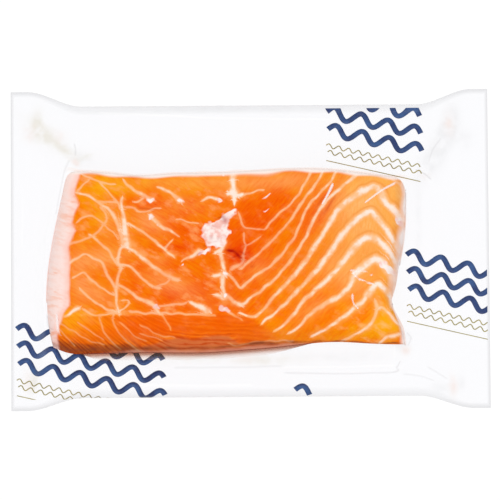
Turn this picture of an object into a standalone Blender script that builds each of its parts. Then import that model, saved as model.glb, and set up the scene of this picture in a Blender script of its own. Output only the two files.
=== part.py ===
# Sealed clear pouch with one salmon portion in it, lying flat with its top side up.
# The pouch is one closed solid: a flat underside, thin sealed ends left and right, long edges rounded
# like a tube, and an upper side that runs from the edges up over the fish as taut film does.
# Units are metres, +X along the pouch, +Y towards its back edge, +Z up, origin under its middle.

import math

import bmesh
import bpy
import numpy as np

MM = 0.001

# The pouch, seen from above
POUCH_LENGTH = 217 * MM
SEAL_HALF_WIDTH = 78 * MM  # half the width of a flat sealed end
BACK_EDGE = 69 * MM  # the long edges are drawn in between the ends, the front one a little less
FRONT_EDGE = 73 * MM
FLARE_FROM = 76 * MM  # |x| where an edge starts to swing out, and where it is fully out
FLARE_TO = 101 * MM

# The pouch, seen from the side
SEAL_THICKNESS = 1.2 * MM
SEAL_DEPTH = 9 * MM  # how far a sealed end reaches in from the pouch's end
EDGE_HEIGHT = 8.5 * MM  # height of the air-filled roll along a long edge
EDGE_ROUND = 5.5 * MM  # how far in from the edge that roll is rounded
RIM_SHARE = 0.45  # where the widest line of the roll lies, as a share of its height
UNDERCUT = 0.8  # how far the underside is set in below that line, as a share of the line's height
FILM_SPRING = 15 * MM  # height at which the film leaves the fish's side
FILM_SAG = 1.8  # 1 is a straight slope from the fish to the edge, more hangs lower between them
FILM_BLEND = 3 * MM  # how far either side of where film and fish meet they run into each other
HIP_ROUND = 0.25  # how softly the film turns from one slope into the next, as a share of the way down

# The fish: base corners (x, y), and how wide the rounded shoulder of each side is
FISH_BACK_LEFT = (-83 * MM, 32.5 * MM)
FISH_BACK_RIGHT = (72 * MM, 27.5 * MM)
FISH_FRONT_RIGHT = (71 * MM, -47.5 * MM)
FISH_FRONT_LEFT = (-87 * MM, -51.5 * MM)
FISH_HEIGHT = 27 * MM
LEFT_BOW = 6 * MM  # how far the left side bows out
LEFT_BOW_SKEW = 0.75  # under 1 brings its fullest place nearer the front
LEFT_SHOULDER = 11 * MM
RIGHT_SHOULDER = 6 * MM
BACK_SHOULDER = 6 * MM
FRONT_SHOULDER = 11 * MM
SHOULDER_POWER = 2.3  # 2 is an ellipse
THIN_SIDE = 0.5  # how much of its height the fish loses at the right end of its front side
THIN_FROM_X = -10 * MM
THIN_TO_X = 65 * MM
THIN_DEPTH = 32 * MM
CROWN = 1.6 * MM  # how much lower the top is at its ends than in the middle

# Waves of the fish's sides: where along the side, how far out (or in, below 0), and how far they reach
BACK_SWELL = (35 * MM, 4.2 * MM, 32 * MM)
BACK_HOLLOW = (-50 * MM, -2.8 * MM, 17 * MM)
FRONT_SWELL = (-22 * MM, 2.6 * MM, 30 * MM)
FRONT_HOLLOW = (38 * MM, -2.2 * MM, 18 * MM)
RIGHT_NOTCH = (-35 * MM, -5 * MM, 10.5 * MM)

# Flakes of the flesh, as shallow furrows: arms that fall to the left of each crest
FLAKE_PITCH = 10.5 * MM
FURROW_DEPTH = 0.55 * MM
FURROW_SHARPNESS = 5.0
CREST_X = 57 * MM  # line of the crests near the right end
SEPTUM_X = -9 * MM  # line between the two halves
LEFT_SEPTUM_X = -56 * MM
RIGHT_ARM_SLOPE = 0.95
RIGHT_TIP_SLOPE = -1.1
MIDDLE_SLOPE = -0.62
LEFT_SLOPE = 0.45

# Tight folds that run from the fish's corners out to the pouch's corners, as lists of (x, y)
FOLDS = (
    ((-81 * MM, 30 * MM), (-98 * MM, 61 * MM)),
    ((70 * MM, 26 * MM), (82 * MM, 28 * MM), (92.5 * MM, 61 * MM)),
    ((69 * MM, -46 * MM), (94 * MM, -66 * MM)),
    ((-86 * MM, -49 * MM), (-98 * MM, -65 * MM)),
)
FOLD_HEIGHT = 3.0 * MM
FOLD_HALF_WIDTH = 4.2 * MM

# Faces along X left of the fish, over it and right of it, and along Y before, over and behind it
COLUMNS = (11, 70, 12)
ROWS = (9, 32, 12)
SHOULDER_CROWDING = 0.09  # how much the faces over the fish crowd towards its sides

NODE = "sealed_pack"
COLLECTION = "salmon_pack"


def smooth(low, high, value):
    """0 below low, 1 above high, and an even S between them."""
    t = np.clip((value - low) / (high - low), 0, 1)
    return t * t * (3 - 2 * t)


def share(start, end, value):
    return np.clip((value - start) / (end - start), 0, 1)


def rounded_maximum(first, second, reach):
    """The larger of the two, rounded where they differ by less than reach."""
    near = np.maximum(reach - np.abs(first - second), 0) / reach
    return np.maximum(first, second) + reach * near * near / 4


def flare(x):
    return smooth(FLARE_FROM, FLARE_TO, np.abs(x))


def back_edge(x):
    return BACK_EDGE + (SEAL_HALF_WIDTH - BACK_EDGE) * flare(x)


def front_edge(x):
    return -FRONT_EDGE - (SEAL_HALF_WIDTH - FRONT_EDGE) * flare(x)


def swell(place, wave):
    """How far a side's wave stands out at a place along it."""
    centre, depth, reach = wave
    return depth * np.exp(-(((place - centre) / reach) ** 2))


def fish_left(y):
    t = share(FISH_FRONT_LEFT[1], FISH_BACK_LEFT[1], y)
    line = FISH_FRONT_LEFT[0] + (FISH_BACK_LEFT[0] - FISH_FRONT_LEFT[0]) * t
    return line - LEFT_BOW * np.sin(math.pi * t**LEFT_BOW_SKEW)


def fish_right(y):
    t = share(FISH_FRONT_RIGHT[1], FISH_BACK_RIGHT[1], y)
    line = FISH_FRONT_RIGHT[0] + (FISH_BACK_RIGHT[0] - FISH_FRONT_RIGHT[0]) * t
    return line + swell(y, RIGHT_NOTCH)


def fish_back(x):
    t = share(FISH_BACK_LEFT[0], FISH_BACK_RIGHT[0], x)
    line = FISH_BACK_LEFT[1] + (FISH_BACK_RIGHT[1] - FISH_BACK_LEFT[1]) * t
    return line + swell(x, BACK_SWELL) + swell(x, BACK_HOLLOW)


def fish_front(x):
    t = share(FISH_FRONT_LEFT[0], FISH_FRONT_RIGHT[0], x)
    line = FISH_FRONT_LEFT[1] + (FISH_FRONT_RIGHT[1] - FISH_FRONT_LEFT[1]) * t
    return line - swell(x, FRONT_SWELL) - swell(x, FRONT_HOLLOW)


def shoulder(distance, width):
    """Height share of a rounded side at this distance inside it."""
    t = np.clip(distance / width, 0, 1)
    return (1 - (1 - t) ** SHOULDER_POWER) ** (1 / SHOULDER_POWER)


def crown_height(x, y):
    middle = (FISH_FRONT_LEFT[0] + FISH_FRONT_RIGHT[0]) / 2
    half = (FISH_FRONT_RIGHT[0] - FISH_FRONT_LEFT[0]) / 2
    height = FISH_HEIGHT - CROWN * ((x - middle) / half) ** 2
    thin = smooth(THIN_FROM_X, THIN_TO_X, x) * (1 - smooth(0, THIN_DEPTH, y - fish_front(x)))
    return height * (1 - THIN_SIDE * thin)


def furrows(x, y):
    """Depth of the furrows between the flakes, from 0 to 1, in four zones along the fish."""
    zones = (
        (CREST_X, math.inf, RIGHT_TIP_SLOPE, CREST_X),
        (SEPTUM_X, CREST_X, RIGHT_ARM_SLOPE, CREST_X),
        (LEFT_SEPTUM_X, SEPTUM_X, MIDDLE_SLOPE, SEPTUM_X),
        (-math.inf, LEFT_SEPTUM_X, LEFT_SLOPE, LEFT_SEPTUM_X),
    )
    line = np.zeros_like(x)
    for start, end, slope, anchor in zones:
        inside = (x >= start) & (x < end)
        line = np.where(inside, slope * (x - anchor), line)
    turn = np.cos(2 * math.pi * (y - line) / FLAKE_PITCH)
    return np.exp(FURROW_SHARPNESS * (turn - 1))


def fish_top(x, y):
    """Height of the fish, 0 outside its base outline."""
    sides = shoulder(x - fish_left(y), LEFT_SHOULDER) * shoulder(fish_right(y) - x, RIGHT_SHOULDER)
    sides = sides * shoulder(fish_back(x) - y, BACK_SHOULDER)
    sides = sides * shoulder(y - fish_front(x), FRONT_SHOULDER)
    return sides * crown_height(x, y) - FURROW_DEPTH * furrows(x, y) * smooth(0.75, 1, sides)


def edge_height(x):
    return SEAL_THICKNESS + (EDGE_HEIGHT - SEAL_THICKNESS) * (1 - flare(x))


def film_slope(x, y):
    """Height of the film beyond the fish: a hipped tent from the fish's outline down to the edges."""
    seal_x = POUCH_LENGTH / 2 - SEAL_DEPTH
    left, right = fish_left(y), fish_right(y)
    back, front = fish_back(x), fish_front(x)
    along = np.maximum((x - right) / (seal_x - right), (left - x) / (left + seal_x))
    across = np.maximum((y - back) / (back_edge(x) - back), (front - y) / (front - front_edge(x)))
    away = np.clip(rounded_maximum(along, across, HIP_ROUND), 0, 1)
    level = edge_height(x)
    return level + (FILM_SPRING - level) * (1 - away) ** FILM_SAG


def distance_to_path(x, y, path):
    """Distance to a path of straight runs, and the share of it gone by at the nearest point."""
    nearest = np.full_like(x, np.inf)
    gone = np.zeros_like(x)
    runs = len(path) - 1
    for run, (start, end) in enumerate(zip(path, path[1:])):
        step = np.subtract(end, start)
        t = np.clip(((x - start[0]) * step[0] + (y - start[1]) * step[1]) / (step @ step), 0, 1)
        far = np.hypot(x - start[0] - step[0] * t, y - start[1] - step[1] * t)
        gone = np.where(far < nearest, (run + t) / runs, gone)
        nearest = np.minimum(far, nearest)
    return nearest, gone


def fold_rise(x, y):
    rise = np.zeros_like(x)
    for path in FOLDS:
        far, gone = distance_to_path(x, y, path)
        rise = rise + FOLD_HEIGHT * np.exp(-((far / FOLD_HALF_WIDTH) ** 2)) * (1 - 0.7 * gone)
    return rise


def edge_roll(x, y):
    """Share of the height above the rim that the rounded long edges leave."""
    inward = np.minimum(back_edge(x) - y, y - front_edge(x))
    t = np.clip(inward / EDGE_ROUND, 0, 1)
    return np.sqrt(1 - (1 - t) ** 2)


def pouch_top(x, y):
    inside = smooth(0, SEAL_DEPTH, POUCH_LENGTH / 2 - SEAL_DEPTH / 2 - np.abs(x))
    film = film_slope(x, y) + fold_rise(x, y) * inside
    film = SEAL_THICKNESS + (film - SEAL_THICKNESS) * inside
    rim = RIM_SHARE * edge_height(x)
    film = rim + (film - rim) * edge_roll(x, y)
    fish = fish_top(x, y)
    return np.where(fish > 0, rounded_maximum(film, fish, FILM_BLEND), film)


def stations(counts):
    """Grid lines counted through the three stretches: 0 to 1 before the fish, to 2 over it, to 3 beyond."""
    before, over, beyond = (np.linspace(0, 1, count + 1) for count in counts)
    before = 0.5 - 0.5 * np.cos(math.pi * before)
    over = over - SHOULDER_CROWDING * np.sin(2 * math.pi * over)
    beyond = 0.5 - 0.5 * np.cos(math.pi * beyond)
    return np.concatenate([before, 1 + over[1:], 2 + beyond[1:]])


def between(station, *limits):
    """Place of a station among the four limits: pouch edge, fish side, fish side, pouch edge."""
    first, second, third, last = limits
    place = first + (second - first) * np.clip(station, 0, 1)
    place = place + (third - second) * np.clip(station - 1, 0, 1)
    return place + (last - third) * np.clip(station - 2, 0, 1)


def warp_to_pouch(bm):
    """Moves a unit grid's vertices out to the pouch's outline, in line with the fish, and up to its top."""
    grid = np.array([vertex.co for vertex in bm.verts])
    across = stations(ROWS)[np.rint((grid[:, 1] + 0.5) * sum(ROWS)).astype(int)]
    along = stations(COLUMNS)[np.rint((grid[:, 0] + 0.5) * sum(COLUMNS)).astype(int)]
    end = POUCH_LENGTH / 2
    y = between(across, -FRONT_EDGE, FISH_FRONT_LEFT[1], FISH_BACK_LEFT[1], BACK_EDGE)
    x = between(along, -end, fish_left(y), fish_right(y), end)
    y = between(across, front_edge(x), fish_front(x), fish_back(x), back_edge(x))
    z = pouch_top(x, y)
    for vertex, place in zip(bm.verts, np.stack([x, y, z], axis=1)):
        vertex.co = place


def close_underside(bm):
    """Draws the rim down and in to the table, and fills the flat underside."""
    rim = [edge for edge in bm.edges if edge.is_boundary]
    drawn = bmesh.ops.extrude_edge_only(bm, edges=rim)["geom"]
    for vertex in (g for g in drawn if isinstance(g, bmesh.types.BMVert)):
        inset = UNDERCUT * (RIM_SHARE * edge_height(vertex.co.x) - RIM_SHARE * SEAL_THICKNESS)
        vertex.co.y -= math.copysign(inset, vertex.co.y) if on_long_edge(vertex.co) else 0
        vertex.co.z = 0
    bottom = [edge for edge in bm.edges if edge.is_boundary]
    bmesh.ops.contextual_create(bm, geom=bottom)
    bmesh.ops.recalc_face_normals(bm, faces=bm.faces)


def on_long_edge(place):
    near = 0.01 * MM
    return place.y > back_edge(place.x) - near or place.y < front_edge(place.x) + near


def pack_material():
    """Salmon seen through clear film."""
    material = bpy.data.materials.new("salmon_under_film")
    material.use_nodes = True
    shader = material.node_tree.nodes["Principled BSDF"]
    shader.inputs["Base Color"].default_value = (0.93, 0.42, 0.17, 1)
    shader.inputs["Roughness"].default_value = 0.25
    shader.inputs["Metallic"].default_value = 0
    return material


def build_pack(collection):
    bm = bmesh.new()
    bmesh.ops.create_grid(bm, x_segments=sum(COLUMNS), y_segments=sum(ROWS), size=0.5)
    warp_to_pouch(bm)
    close_underside(bm)
    mesh = bpy.data.meshes.new(NODE)
    bm.to_mesh(mesh)
    bm.free()
    mesh.materials.append(pack_material())
    mesh.shade_smooth()
    mesh.set_sharp_from_angle(angle=math.radians(35))
    pack = bpy.data.objects.new(NODE, mesh)
    collection.objects.link(pack)
    return pack


def main():
    for old in list(bpy.data.objects):
        bpy.data.objects.remove(old)
    collection = bpy.data.collections.new(COLLECTION)
    bpy.context.scene.collection.children.link(collection)
    build_pack(collection)


main()
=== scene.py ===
# Looks of a sealed pack with one raw salmon portion in it: the fish, the clear pouch drawn over it with
# its pressed seals, the print on the pouch's underside, and the juice round the fish's foot.
# Lengths are in millimetres, and a mesh is scaled to metres as it is made.

import math

import bmesh
import bpy
import numpy as np
from mathutils import Matrix, Vector


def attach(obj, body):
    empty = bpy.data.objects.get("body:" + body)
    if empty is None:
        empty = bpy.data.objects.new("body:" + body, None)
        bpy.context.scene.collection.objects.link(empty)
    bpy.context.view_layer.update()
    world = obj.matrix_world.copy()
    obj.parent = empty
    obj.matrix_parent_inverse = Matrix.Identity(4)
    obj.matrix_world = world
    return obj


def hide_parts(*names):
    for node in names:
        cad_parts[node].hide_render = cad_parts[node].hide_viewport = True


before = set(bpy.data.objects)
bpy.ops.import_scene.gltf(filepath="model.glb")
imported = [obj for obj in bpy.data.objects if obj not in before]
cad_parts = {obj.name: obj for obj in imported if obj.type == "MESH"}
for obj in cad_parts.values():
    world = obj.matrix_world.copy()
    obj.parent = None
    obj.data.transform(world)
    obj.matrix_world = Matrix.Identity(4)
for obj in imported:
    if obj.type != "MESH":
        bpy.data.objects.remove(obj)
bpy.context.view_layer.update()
mm = 0.001
print("frame loaded")


def smoothStep(low, high, value):
    t = np.clip((value - low) / (high - low), 0, 1)
    return t * t * (3 - 2 * t)


def share(start, end, value):
    return np.clip((value - start) / (end - start), 0, 1)


def roundedMaximum(first, second, reach):  # the larger one, rounded where they differ by less than reach
    near = np.maximum(reach - np.abs(first - second), 0) / reach
    return np.maximum(first, second) + reach * near * near / 4


def ripple(x, y, length, seed):  # smooth, seeded unevenness from about -1 to 1, bumps about length apart
    draw = np.random.default_rng(seed)
    total = np.zeros_like(x)
    for turn in draw.uniform(0, 2 * math.pi, 6):
        pace = 2 * math.pi / length * draw.uniform(0.6, 1.5)
        total += np.sin((x * math.cos(turn) + y * math.sin(turn)) * pace + draw.uniform(0, 6.28))
    return total / 3


def smoothPath(points, steps=5):  # Catmull-Rom curve through the points
    points = np.array(points, float)
    if len(points) == 2:
        return points
    padded = np.vstack([2 * points[0] - points[1], points, 2 * points[-1] - points[-2]])
    t = np.linspace(0, 1, steps, endpoint=False)[:, None]
    runs = []
    for a, b, c, d in zip(padded, padded[1:], padded[2:], padded[3:]):
        runs.append(b + 0.5 * t * (c - a + t * (2 * a - 5 * b + 4 * c - d + t * (3 * (b - c) + d - a))))
    return np.vstack(runs + [points[-1:]])


def alongPath(x, y, path):  # distance to a path, the share of it gone by there, and 1 above it or -1 below
    nearest = np.full_like(x, np.inf)
    gone = np.zeros_like(x)
    side = np.ones_like(x)
    steps = np.diff(path, axis=0)
    lengths = np.hypot(steps[:, 0], steps[:, 1])
    starts = np.concatenate([[0], np.cumsum(lengths)])
    for start, step, length, before in zip(path, steps, lengths, starts):
        fromX = x - start[0]
        fromY = y - start[1]
        t = np.clip((fromX * step[0] + fromY * step[1]) / length ** 2, 0, 1)
        far = np.hypot(fromX - step[0] * t, fromY - step[1] * t)
        nearer = far < nearest
        gone = np.where(nearer, (before + t * length) / starts[-1], gone)
        above = (step[0] * fromY - step[1] * fromX) * math.copysign(1, step[0])
        side = np.where(nearer, np.where(above > 0, 1.0, -1.0), side)
        nearest = np.where(nearer, far, nearest)
    return nearest, gone, side


def lineFields(x, y, lines, reach=5.0):
    # Distance from the nearest line in half widths, once with a sign for the side and once without, and
    # that line's strength. The sign keeps a line sharp between vertices as far apart as it is wide.
    away = np.full_like(x, reach)
    side = np.full_like(x, reach)
    strength = np.zeros_like(x)
    for points, (startHalf, endHalf), amount in lines:
        path = smoothPath(points)
        margin = reach * max(startHalf, endHalf)
        inX = np.abs(x - (path[:, 0].min() + path[:, 0].max()) / 2) < np.ptp(path[:, 0]) / 2 + margin
        inY = np.abs(y - (path[:, 1].min() + path[:, 1].max()) / 2) < np.ptp(path[:, 1]) / 2 + margin
        near = np.flatnonzero(inX & inY)
        far, gone, turn = alongPath(x[near], y[near], path)
        ratio = far / (startHalf + (endHalf - startHalf) * gone)
        nearer = ratio < away[near]
        chosen = near[nearer]
        away[chosen] = ratio[nearer]
        side[chosen] = (ratio * turn)[nearer]
        strength[chosen] = amount
    return side, away, strength


def spot(x, y, centre, radii, turn=0):  # 1 in the middle of a turned ellipse, falling off like a bell
    a = math.radians(turn)
    along = (x - centre[0]) * math.cos(a) + (y - centre[1]) * math.sin(a)
    across = (y - centre[1]) * math.cos(a) - (x - centre[0]) * math.sin(a)
    return np.exp(-((along / radii[0]) ** 2 + (across / radii[1]) ** 2))


def spotSum(x, y, spots):
    total = np.zeros_like(x)
    for centre, radii, turn, amount in spots:
        total += amount * spot(x, y, centre, radii, turn)
    return total


def placesOf(mesh):  # its vertices in millimetres, as rows of x, y and z
    flat = np.empty(len(mesh.vertices) * 3)
    mesh.vertices.foreach_get("co", flat)
    return flat.reshape(-1, 3) / mm


def setPlaces(mesh, places):
    mesh.vertices.foreach_set("co", (places * mm).ravel())
    mesh.update()


def setField(mesh, name, values):  # a number or a vector for each vertex, which the material reads by name
    kind, slot = ("FLOAT_VECTOR", "vector") if values.ndim == 2 else ("FLOAT", "value")
    field = mesh.attributes.new(name, kind, "POINT")
    field.data.foreach_set(slot, values.astype(np.float32).ravel())


def pieceFrom(bm, name):
    mesh = bpy.data.meshes.new(name)
    bm.to_mesh(mesh)
    bm.free()
    mesh.shade_smooth()
    piece = bpy.data.objects.new(name, mesh)
    bpy.context.scene.collection.objects.link(piece)
    return piece


def linearColour(hexCode):  # sRGB hex, such as "#ff7a12", to linear red, green, blue and alpha
    parts = [int(hexCode[i:i + 2], 16) / 255 for i in (1, 3, 5)]
    return [p / 12.92 if p <= 0.04045 else ((p + 0.055) / 1.055) ** 2.4 for p in parts] + [1.0]


def addNode(tree, kind, settings=None, inputs=None, output=0):
    # Adds a node with its settings and inputs, each a value, a hex colour or a socket to link, and gives
    # back one of its outputs, or the node itself where output is None. Inputs that share a name go by
    # number: a Math node's values are 0, 1 and 2. A Map Range node turns 0 from the range 1 to 2 into the
    # range 3 to 4, and where these four are one setting, they are numbered by enumerate. A Mix node's
    # share is 0, and it mixes the numbers 2 and 3 or the colours 6 and 7.
    node = tree.nodes.new(kind)
    for name, value in (settings or {}).items():
        setattr(node, name, value)
    for name, value in (inputs or {}).items():
        if isinstance(value, bpy.types.NodeSocket):
            tree.links.new(value, node.inputs[name])
        elif isinstance(value, str) and value.startswith("#"):
            node.inputs[name].default_value = linearColour(value)
        else:
            node.inputs[name].default_value = value
    return node if output is None else node.outputs[output]


def newMaterial(name):
    material = bpy.data.materials.new(name)
    material.use_nodes = True
    material.node_tree.nodes.clear()
    return material, material.node_tree


def lineDistance(tree, side, away):  # how far off a line is in half widths, from what lineFields gives
    sharp = addNode(tree, "ShaderNodeMath", {"operation": "ABSOLUTE"}, {0: side})
    guard = addNode(tree, "ShaderNodeMath", {"operation": "SUBTRACT"}, {0: away, 1: 1.0})
    return addNode(tree, "ShaderNodeMath", {"operation": "MAXIMUM"}, {0: sharp, 1: guard})


def newShapeTree(name, sizes):  # a Geometry Nodes tree with a named input for each size
    tree = bpy.data.node_groups.new(name, "GeometryNodeTree")
    tree.interface.new_socket("Geometry", in_out="INPUT", socket_type="NodeSocketGeometry")
    kinds = {int: "NodeSocketInt", float: "NodeSocketFloat", bpy.types.Material: "NodeSocketMaterial"}
    for label, value in sizes.items():
        tree.interface.new_socket(label, in_out="INPUT", socket_type=kinds[type(value)])
    tree.interface.new_socket("Geometry", in_out="OUTPUT", socket_type="NodeSocketGeometry")
    return tree, addNode(tree, "NodeGroupInput", output=None).outputs


def endShapeTree(tree, shape, material):  # makes its instances real and sets their material
    whole = addNode(tree, "GeometryNodeRealizeInstances", {}, {0: shape})
    dressed = addNode(tree, "GeometryNodeSetMaterial", {}, {"Geometry": whole, "Material": material})
    addNode(tree, "NodeGroupOutput", {}, {0: dressed}, None)


def grow(piece, tree, sizes):  # runs the tree on a piece, and leaves it a plain mesh
    modifier = piece.modifiers.new(tree.name, "NODES")
    modifier.node_group = tree
    for item in tree.interface.items_tree:
        if item.in_out == "INPUT" and item.name in sizes:
            modifier[item.identifier] = sizes[item.name]
    evaluated = piece.evaluated_get(bpy.context.evaluated_depsgraph_get())
    mesh = bpy.data.meshes.new_from_object(evaluated)
    piece.modifiers.remove(modifier)
    piece.data = mesh


# Form of the pouch and the fish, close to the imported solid's.
pouch = {
    "length": 217,
    "sealHalfWidth": 78,  # half the width of a flat sealed end
    "backEdge": 69,  # half widths between the ends, to the back and to the front
    "frontEdge": 73,
    "flare": (76, 101),  # |x| where a long edge starts to swing out, and where it is fully out
    "sealThickness": 1.2,
    "sealDepth": 9,
    "edgeHeight": 8.5,  # of the air-filled roll along a long edge
    "edgeRound": 5.5,  # how far in from the edge the roll's upper curve reaches
    "rimShare": 0.45,  # where the widest line of the roll lies, as a share of its height
    "undercut": 0.8,  # how far the underside is set in there, against that line's height
    "spring": 15,  # height at which the film leaves the fish's side
    "sag": 1.8,  # 1 is a straight slope from the fish to the edge, and more hangs lower
    "hipRound": 0.25,  # how softly the film turns from one slope into the next
    "blend": 3,  # and how softly it meets the fish, as a height
    "foldHeight": 3.0,
    "foldHalfWidth": 4.2,
    "foldFade": 0.7,  # how much of its height a fold has lost at its outer end
    "folds": (  # tight folds from the fish's corners out to the pouch's corners
        ((-81, 30), (-98, 61)),
        ((70, 26), (82, 28), (92.5, 61)),
        ((69, -46), (94, -66)),
        ((-86, -49), (-98, -65)),
    ),
}

fish = {
    "backLeft": (-84, 33.2),
    "backRight": (71.2, 27.5),
    "frontRight": (70.6, -47.5),
    "frontLeft": (-89.5, -51.5),
    "height": 27,
    "leftBow": 5,  # how far the left side bows out, with its middle nearer the front
    "leftBowSkew": 0.75,
    "backSwell": (30, 4.2, 36),  # waves of the sides: where, how far out, and how far they reach
    "backHollow": (-50, -1.4, 12),
    "frontSwell": (-22, 1.15, 22),
    "frontHollow": (36, -2.3, 20),
    "frontCorner": (-93, -4.5, 8),
    "rightNotch": (-30, -3.6, 8.5),
    "rightHollow": (-18, -3.6, 20),
    "shoulders": (11, 6, 6, 11),  # left, right, back and front
    "shoulderPower": 2.3,  # 2 is a round shoulder, and more a fuller one
    "cornerTuck": (10, 32, 5),  # the left shoulder is this much narrower at the back: from y, to y, by
    "thinSide": 0.5,  # how much of its height the fish loses at the right end of its front side
    "thinX": (-10, 65),
    "thinDepth": 32,  # how far in from the front that reaches
    "crown": 1.6,  # how much lower the top lies at its left and right ends
}


def flareAt(x):
    return smoothStep(*pouch["flare"], np.abs(x))


def backEdge(x):
    return pouch["backEdge"] + (pouch["sealHalfWidth"] - pouch["backEdge"]) * flareAt(x)


def frontEdge(x):
    return -pouch["frontEdge"] - (pouch["sealHalfWidth"] - pouch["frontEdge"]) * flareAt(x)


def swell(place, wave):
    centre, depth, reach = wave
    return depth * np.exp(-(((place - centre) / reach) ** 2))


def fishLeft(y):
    t = share(fish["frontLeft"][1], fish["backLeft"][1], y)
    line = fish["frontLeft"][0] + (fish["backLeft"][0] - fish["frontLeft"][0]) * t
    return line - fish["leftBow"] * np.sin(math.pi * t ** fish["leftBowSkew"])


def fishRight(y):
    t = share(fish["frontRight"][1], fish["backRight"][1], y)
    line = fish["frontRight"][0] + (fish["backRight"][0] - fish["frontRight"][0]) * t
    return line + swell(y, fish["rightNotch"]) + swell(y, fish["rightHollow"])


def fishBack(x):
    t = share(fish["backLeft"][0], fish["backRight"][0], x)
    line = fish["backLeft"][1] + (fish["backRight"][1] - fish["backLeft"][1]) * t
    return line + swell(x, fish["backSwell"]) + swell(x, fish["backHollow"])


def fishFront(x):
    t = share(fish["frontLeft"][0], fish["frontRight"][0], x)
    line = fish["frontLeft"][1] + (fish["frontRight"][1] - fish["frontLeft"][1]) * t
    return line - sum(swell(x, fish[wave]) for wave in ("frontSwell", "frontHollow", "frontCorner"))


def shoulder(distance, width):
    t = np.clip(distance / width, 0, 1)
    return (1 - (1 - t) ** fish["shoulderPower"]) ** (1 / fish["shoulderPower"])


def crownHeight(x, y):
    middle = (fish["frontLeft"][0] + fish["frontRight"][0]) / 2
    half = (fish["frontRight"][0] - fish["frontLeft"][0]) / 2
    height = fish["height"] - fish["crown"] * ((x - middle) / half) ** 2
    thin = smoothStep(*fish["thinX"], x) * (1 - smoothStep(0, fish["thinDepth"], y - fishFront(x)))
    return height * (1 - fish["thinSide"] * thin)


def fishSides(x, y):  # 0 on the fish's outline, 1 where its top begins
    left, right, back, front = fish["shoulders"]
    tuckStart, tuckEnd, tuck = fish["cornerTuck"]
    left = left - tuck * smoothStep(tuckStart, tuckEnd, y)
    sides = shoulder(x - fishLeft(y), left) * shoulder(fishRight(y) - x, right)
    return sides * shoulder(fishBack(x) - y, back) * shoulder(y - fishFront(x), front)


def fishTop(x, y):
    return fishSides(x, y) * crownHeight(x, y)


def edgeHeight(x):
    return pouch["sealThickness"] + (pouch["edgeHeight"] - pouch["sealThickness"]) * (1 - flareAt(x))


def awayFromFish(x, y):  # 0 at the fish's outline, 1 at the pouch's edges
    sealX = pouch["length"] / 2 - pouch["sealDepth"]
    left, right, back, front = fishLeft(y), fishRight(y), fishBack(x), fishFront(x)
    along = np.maximum((x - right) / (sealX - right), (left - x) / (left + sealX))
    across = np.maximum((y - back) / (backEdge(x) - back), (front - y) / (front - frontEdge(x)))
    return np.clip(roundedMaximum(along, across, pouch["hipRound"]), 0, 1)


def foldRise(x, y):
    rise = np.zeros_like(x)
    for path in pouch["folds"]:
        far, gone, _ = alongPath(x, y, np.array(path, float))
        ridge = pouch["foldHeight"] * np.exp(-((far / pouch["foldHalfWidth"]) ** 2))
        rise += ridge * (1 - pouch["foldFade"] * gone)
    return rise


def insideSeals(x):
    middle = pouch["length"] / 2 - pouch["sealDepth"] / 2
    return smoothStep(0, pouch["sealDepth"], middle - np.abs(x))


def pouchTop(x, y):
    level = edgeHeight(x)
    film = level + (pouch["spring"] - level) * (1 - awayFromFish(x, y)) ** pouch["sag"]
    film = film + foldRise(x, y) * insideSeals(x) + slackWaves(x, y)
    film = pouch["sealThickness"] + (film - pouch["sealThickness"]) * insideSeals(x)
    rim = pouch["rimShare"] * edgeHeight(x)
    inward = np.minimum(backEdge(x) - y, y - frontEdge(x))
    t = np.clip(inward / pouch["edgeRound"], 0, 1)
    film = rim + (film - rim) * np.sqrt(1 - (1 - t) ** 2)
    top = fishTop(x, y)
    return np.where(top > 0, roundedMaximum(film, top, pouch["blend"]), film)


flesh = {
    "gap": 0.45,  # between the fish and the film over it
    "lift": 0.5,  # of its underside above the pouch's own
    "footRise": 0.02,  # how much higher its foot lies at the back than at the front
    "underBorder": 10,  # step in from the underside's outline, past its hollows
    "lean": 0.404,  # how far the sheets of fat lean towards the back for each millimetre up
    "columns": (30, 318, 20),  # faces over the left shoulder, the top and the right shoulder
    "rows": (46, 140, 16),  # over the front shoulder, the top and the back shoulder
    "groove": 0.22,  # depth of the groove along a line of fat
    "grooved": (0.5, 0.9),  # how far up the shoulders the grooves start, and where they are whole
    "frontRidge": -41.8,  # where the shown side turns down into the front side
    "ridgeDrop": 4.5,  # how much lower it does so on the right
    "ridgeSoftness": (1.6, 3),  # width of that turn on the left, and how much wider it is on the right
    "frontDullness": 0.6,  # how much weaker the lines of fat are on the front side
    "frontClearness": 0.8,  # and the clouds of fat
    "fanStart": -62,  # the front side's stripes run steeply before this x, and lie flat from fanEnd on
    "fanEnd": -22,
    "fanSlopes": (0.03, 0.92),  # slope of the flat ones, and how much steeper the others are
    "stripesAbove": 0.25,  # strength of the stripes above the brown foot
    "footCover": (0.68, 0.1),  # cover of the foot's brown on the left, and how much more on the right
    "frontLean": 10.2,  # how far the front's lower edge leans out, as it shows
    "backLean": 5.7,  # and the back's outline leans in
    # width of the pale rim along the back, by x
    "backRim": ((-40, 1.1), (-10, 1.6), (8, 2.8), (16, 1.4), (60, 1.2)),
    "rimOverlap": 0.8,  # how far that rim reaches out past the back's outline
    "sideVeil": 0.8,  # cover of the pale rims at the right side and the back
    "backVeil": 0.7,
    "membraneWidth": 9,
    "clearer": 0.65,  # how much weaker the clouds of fat are in the middle, and then stronger on the right
    "cloudier": 0.5,
}
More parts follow.
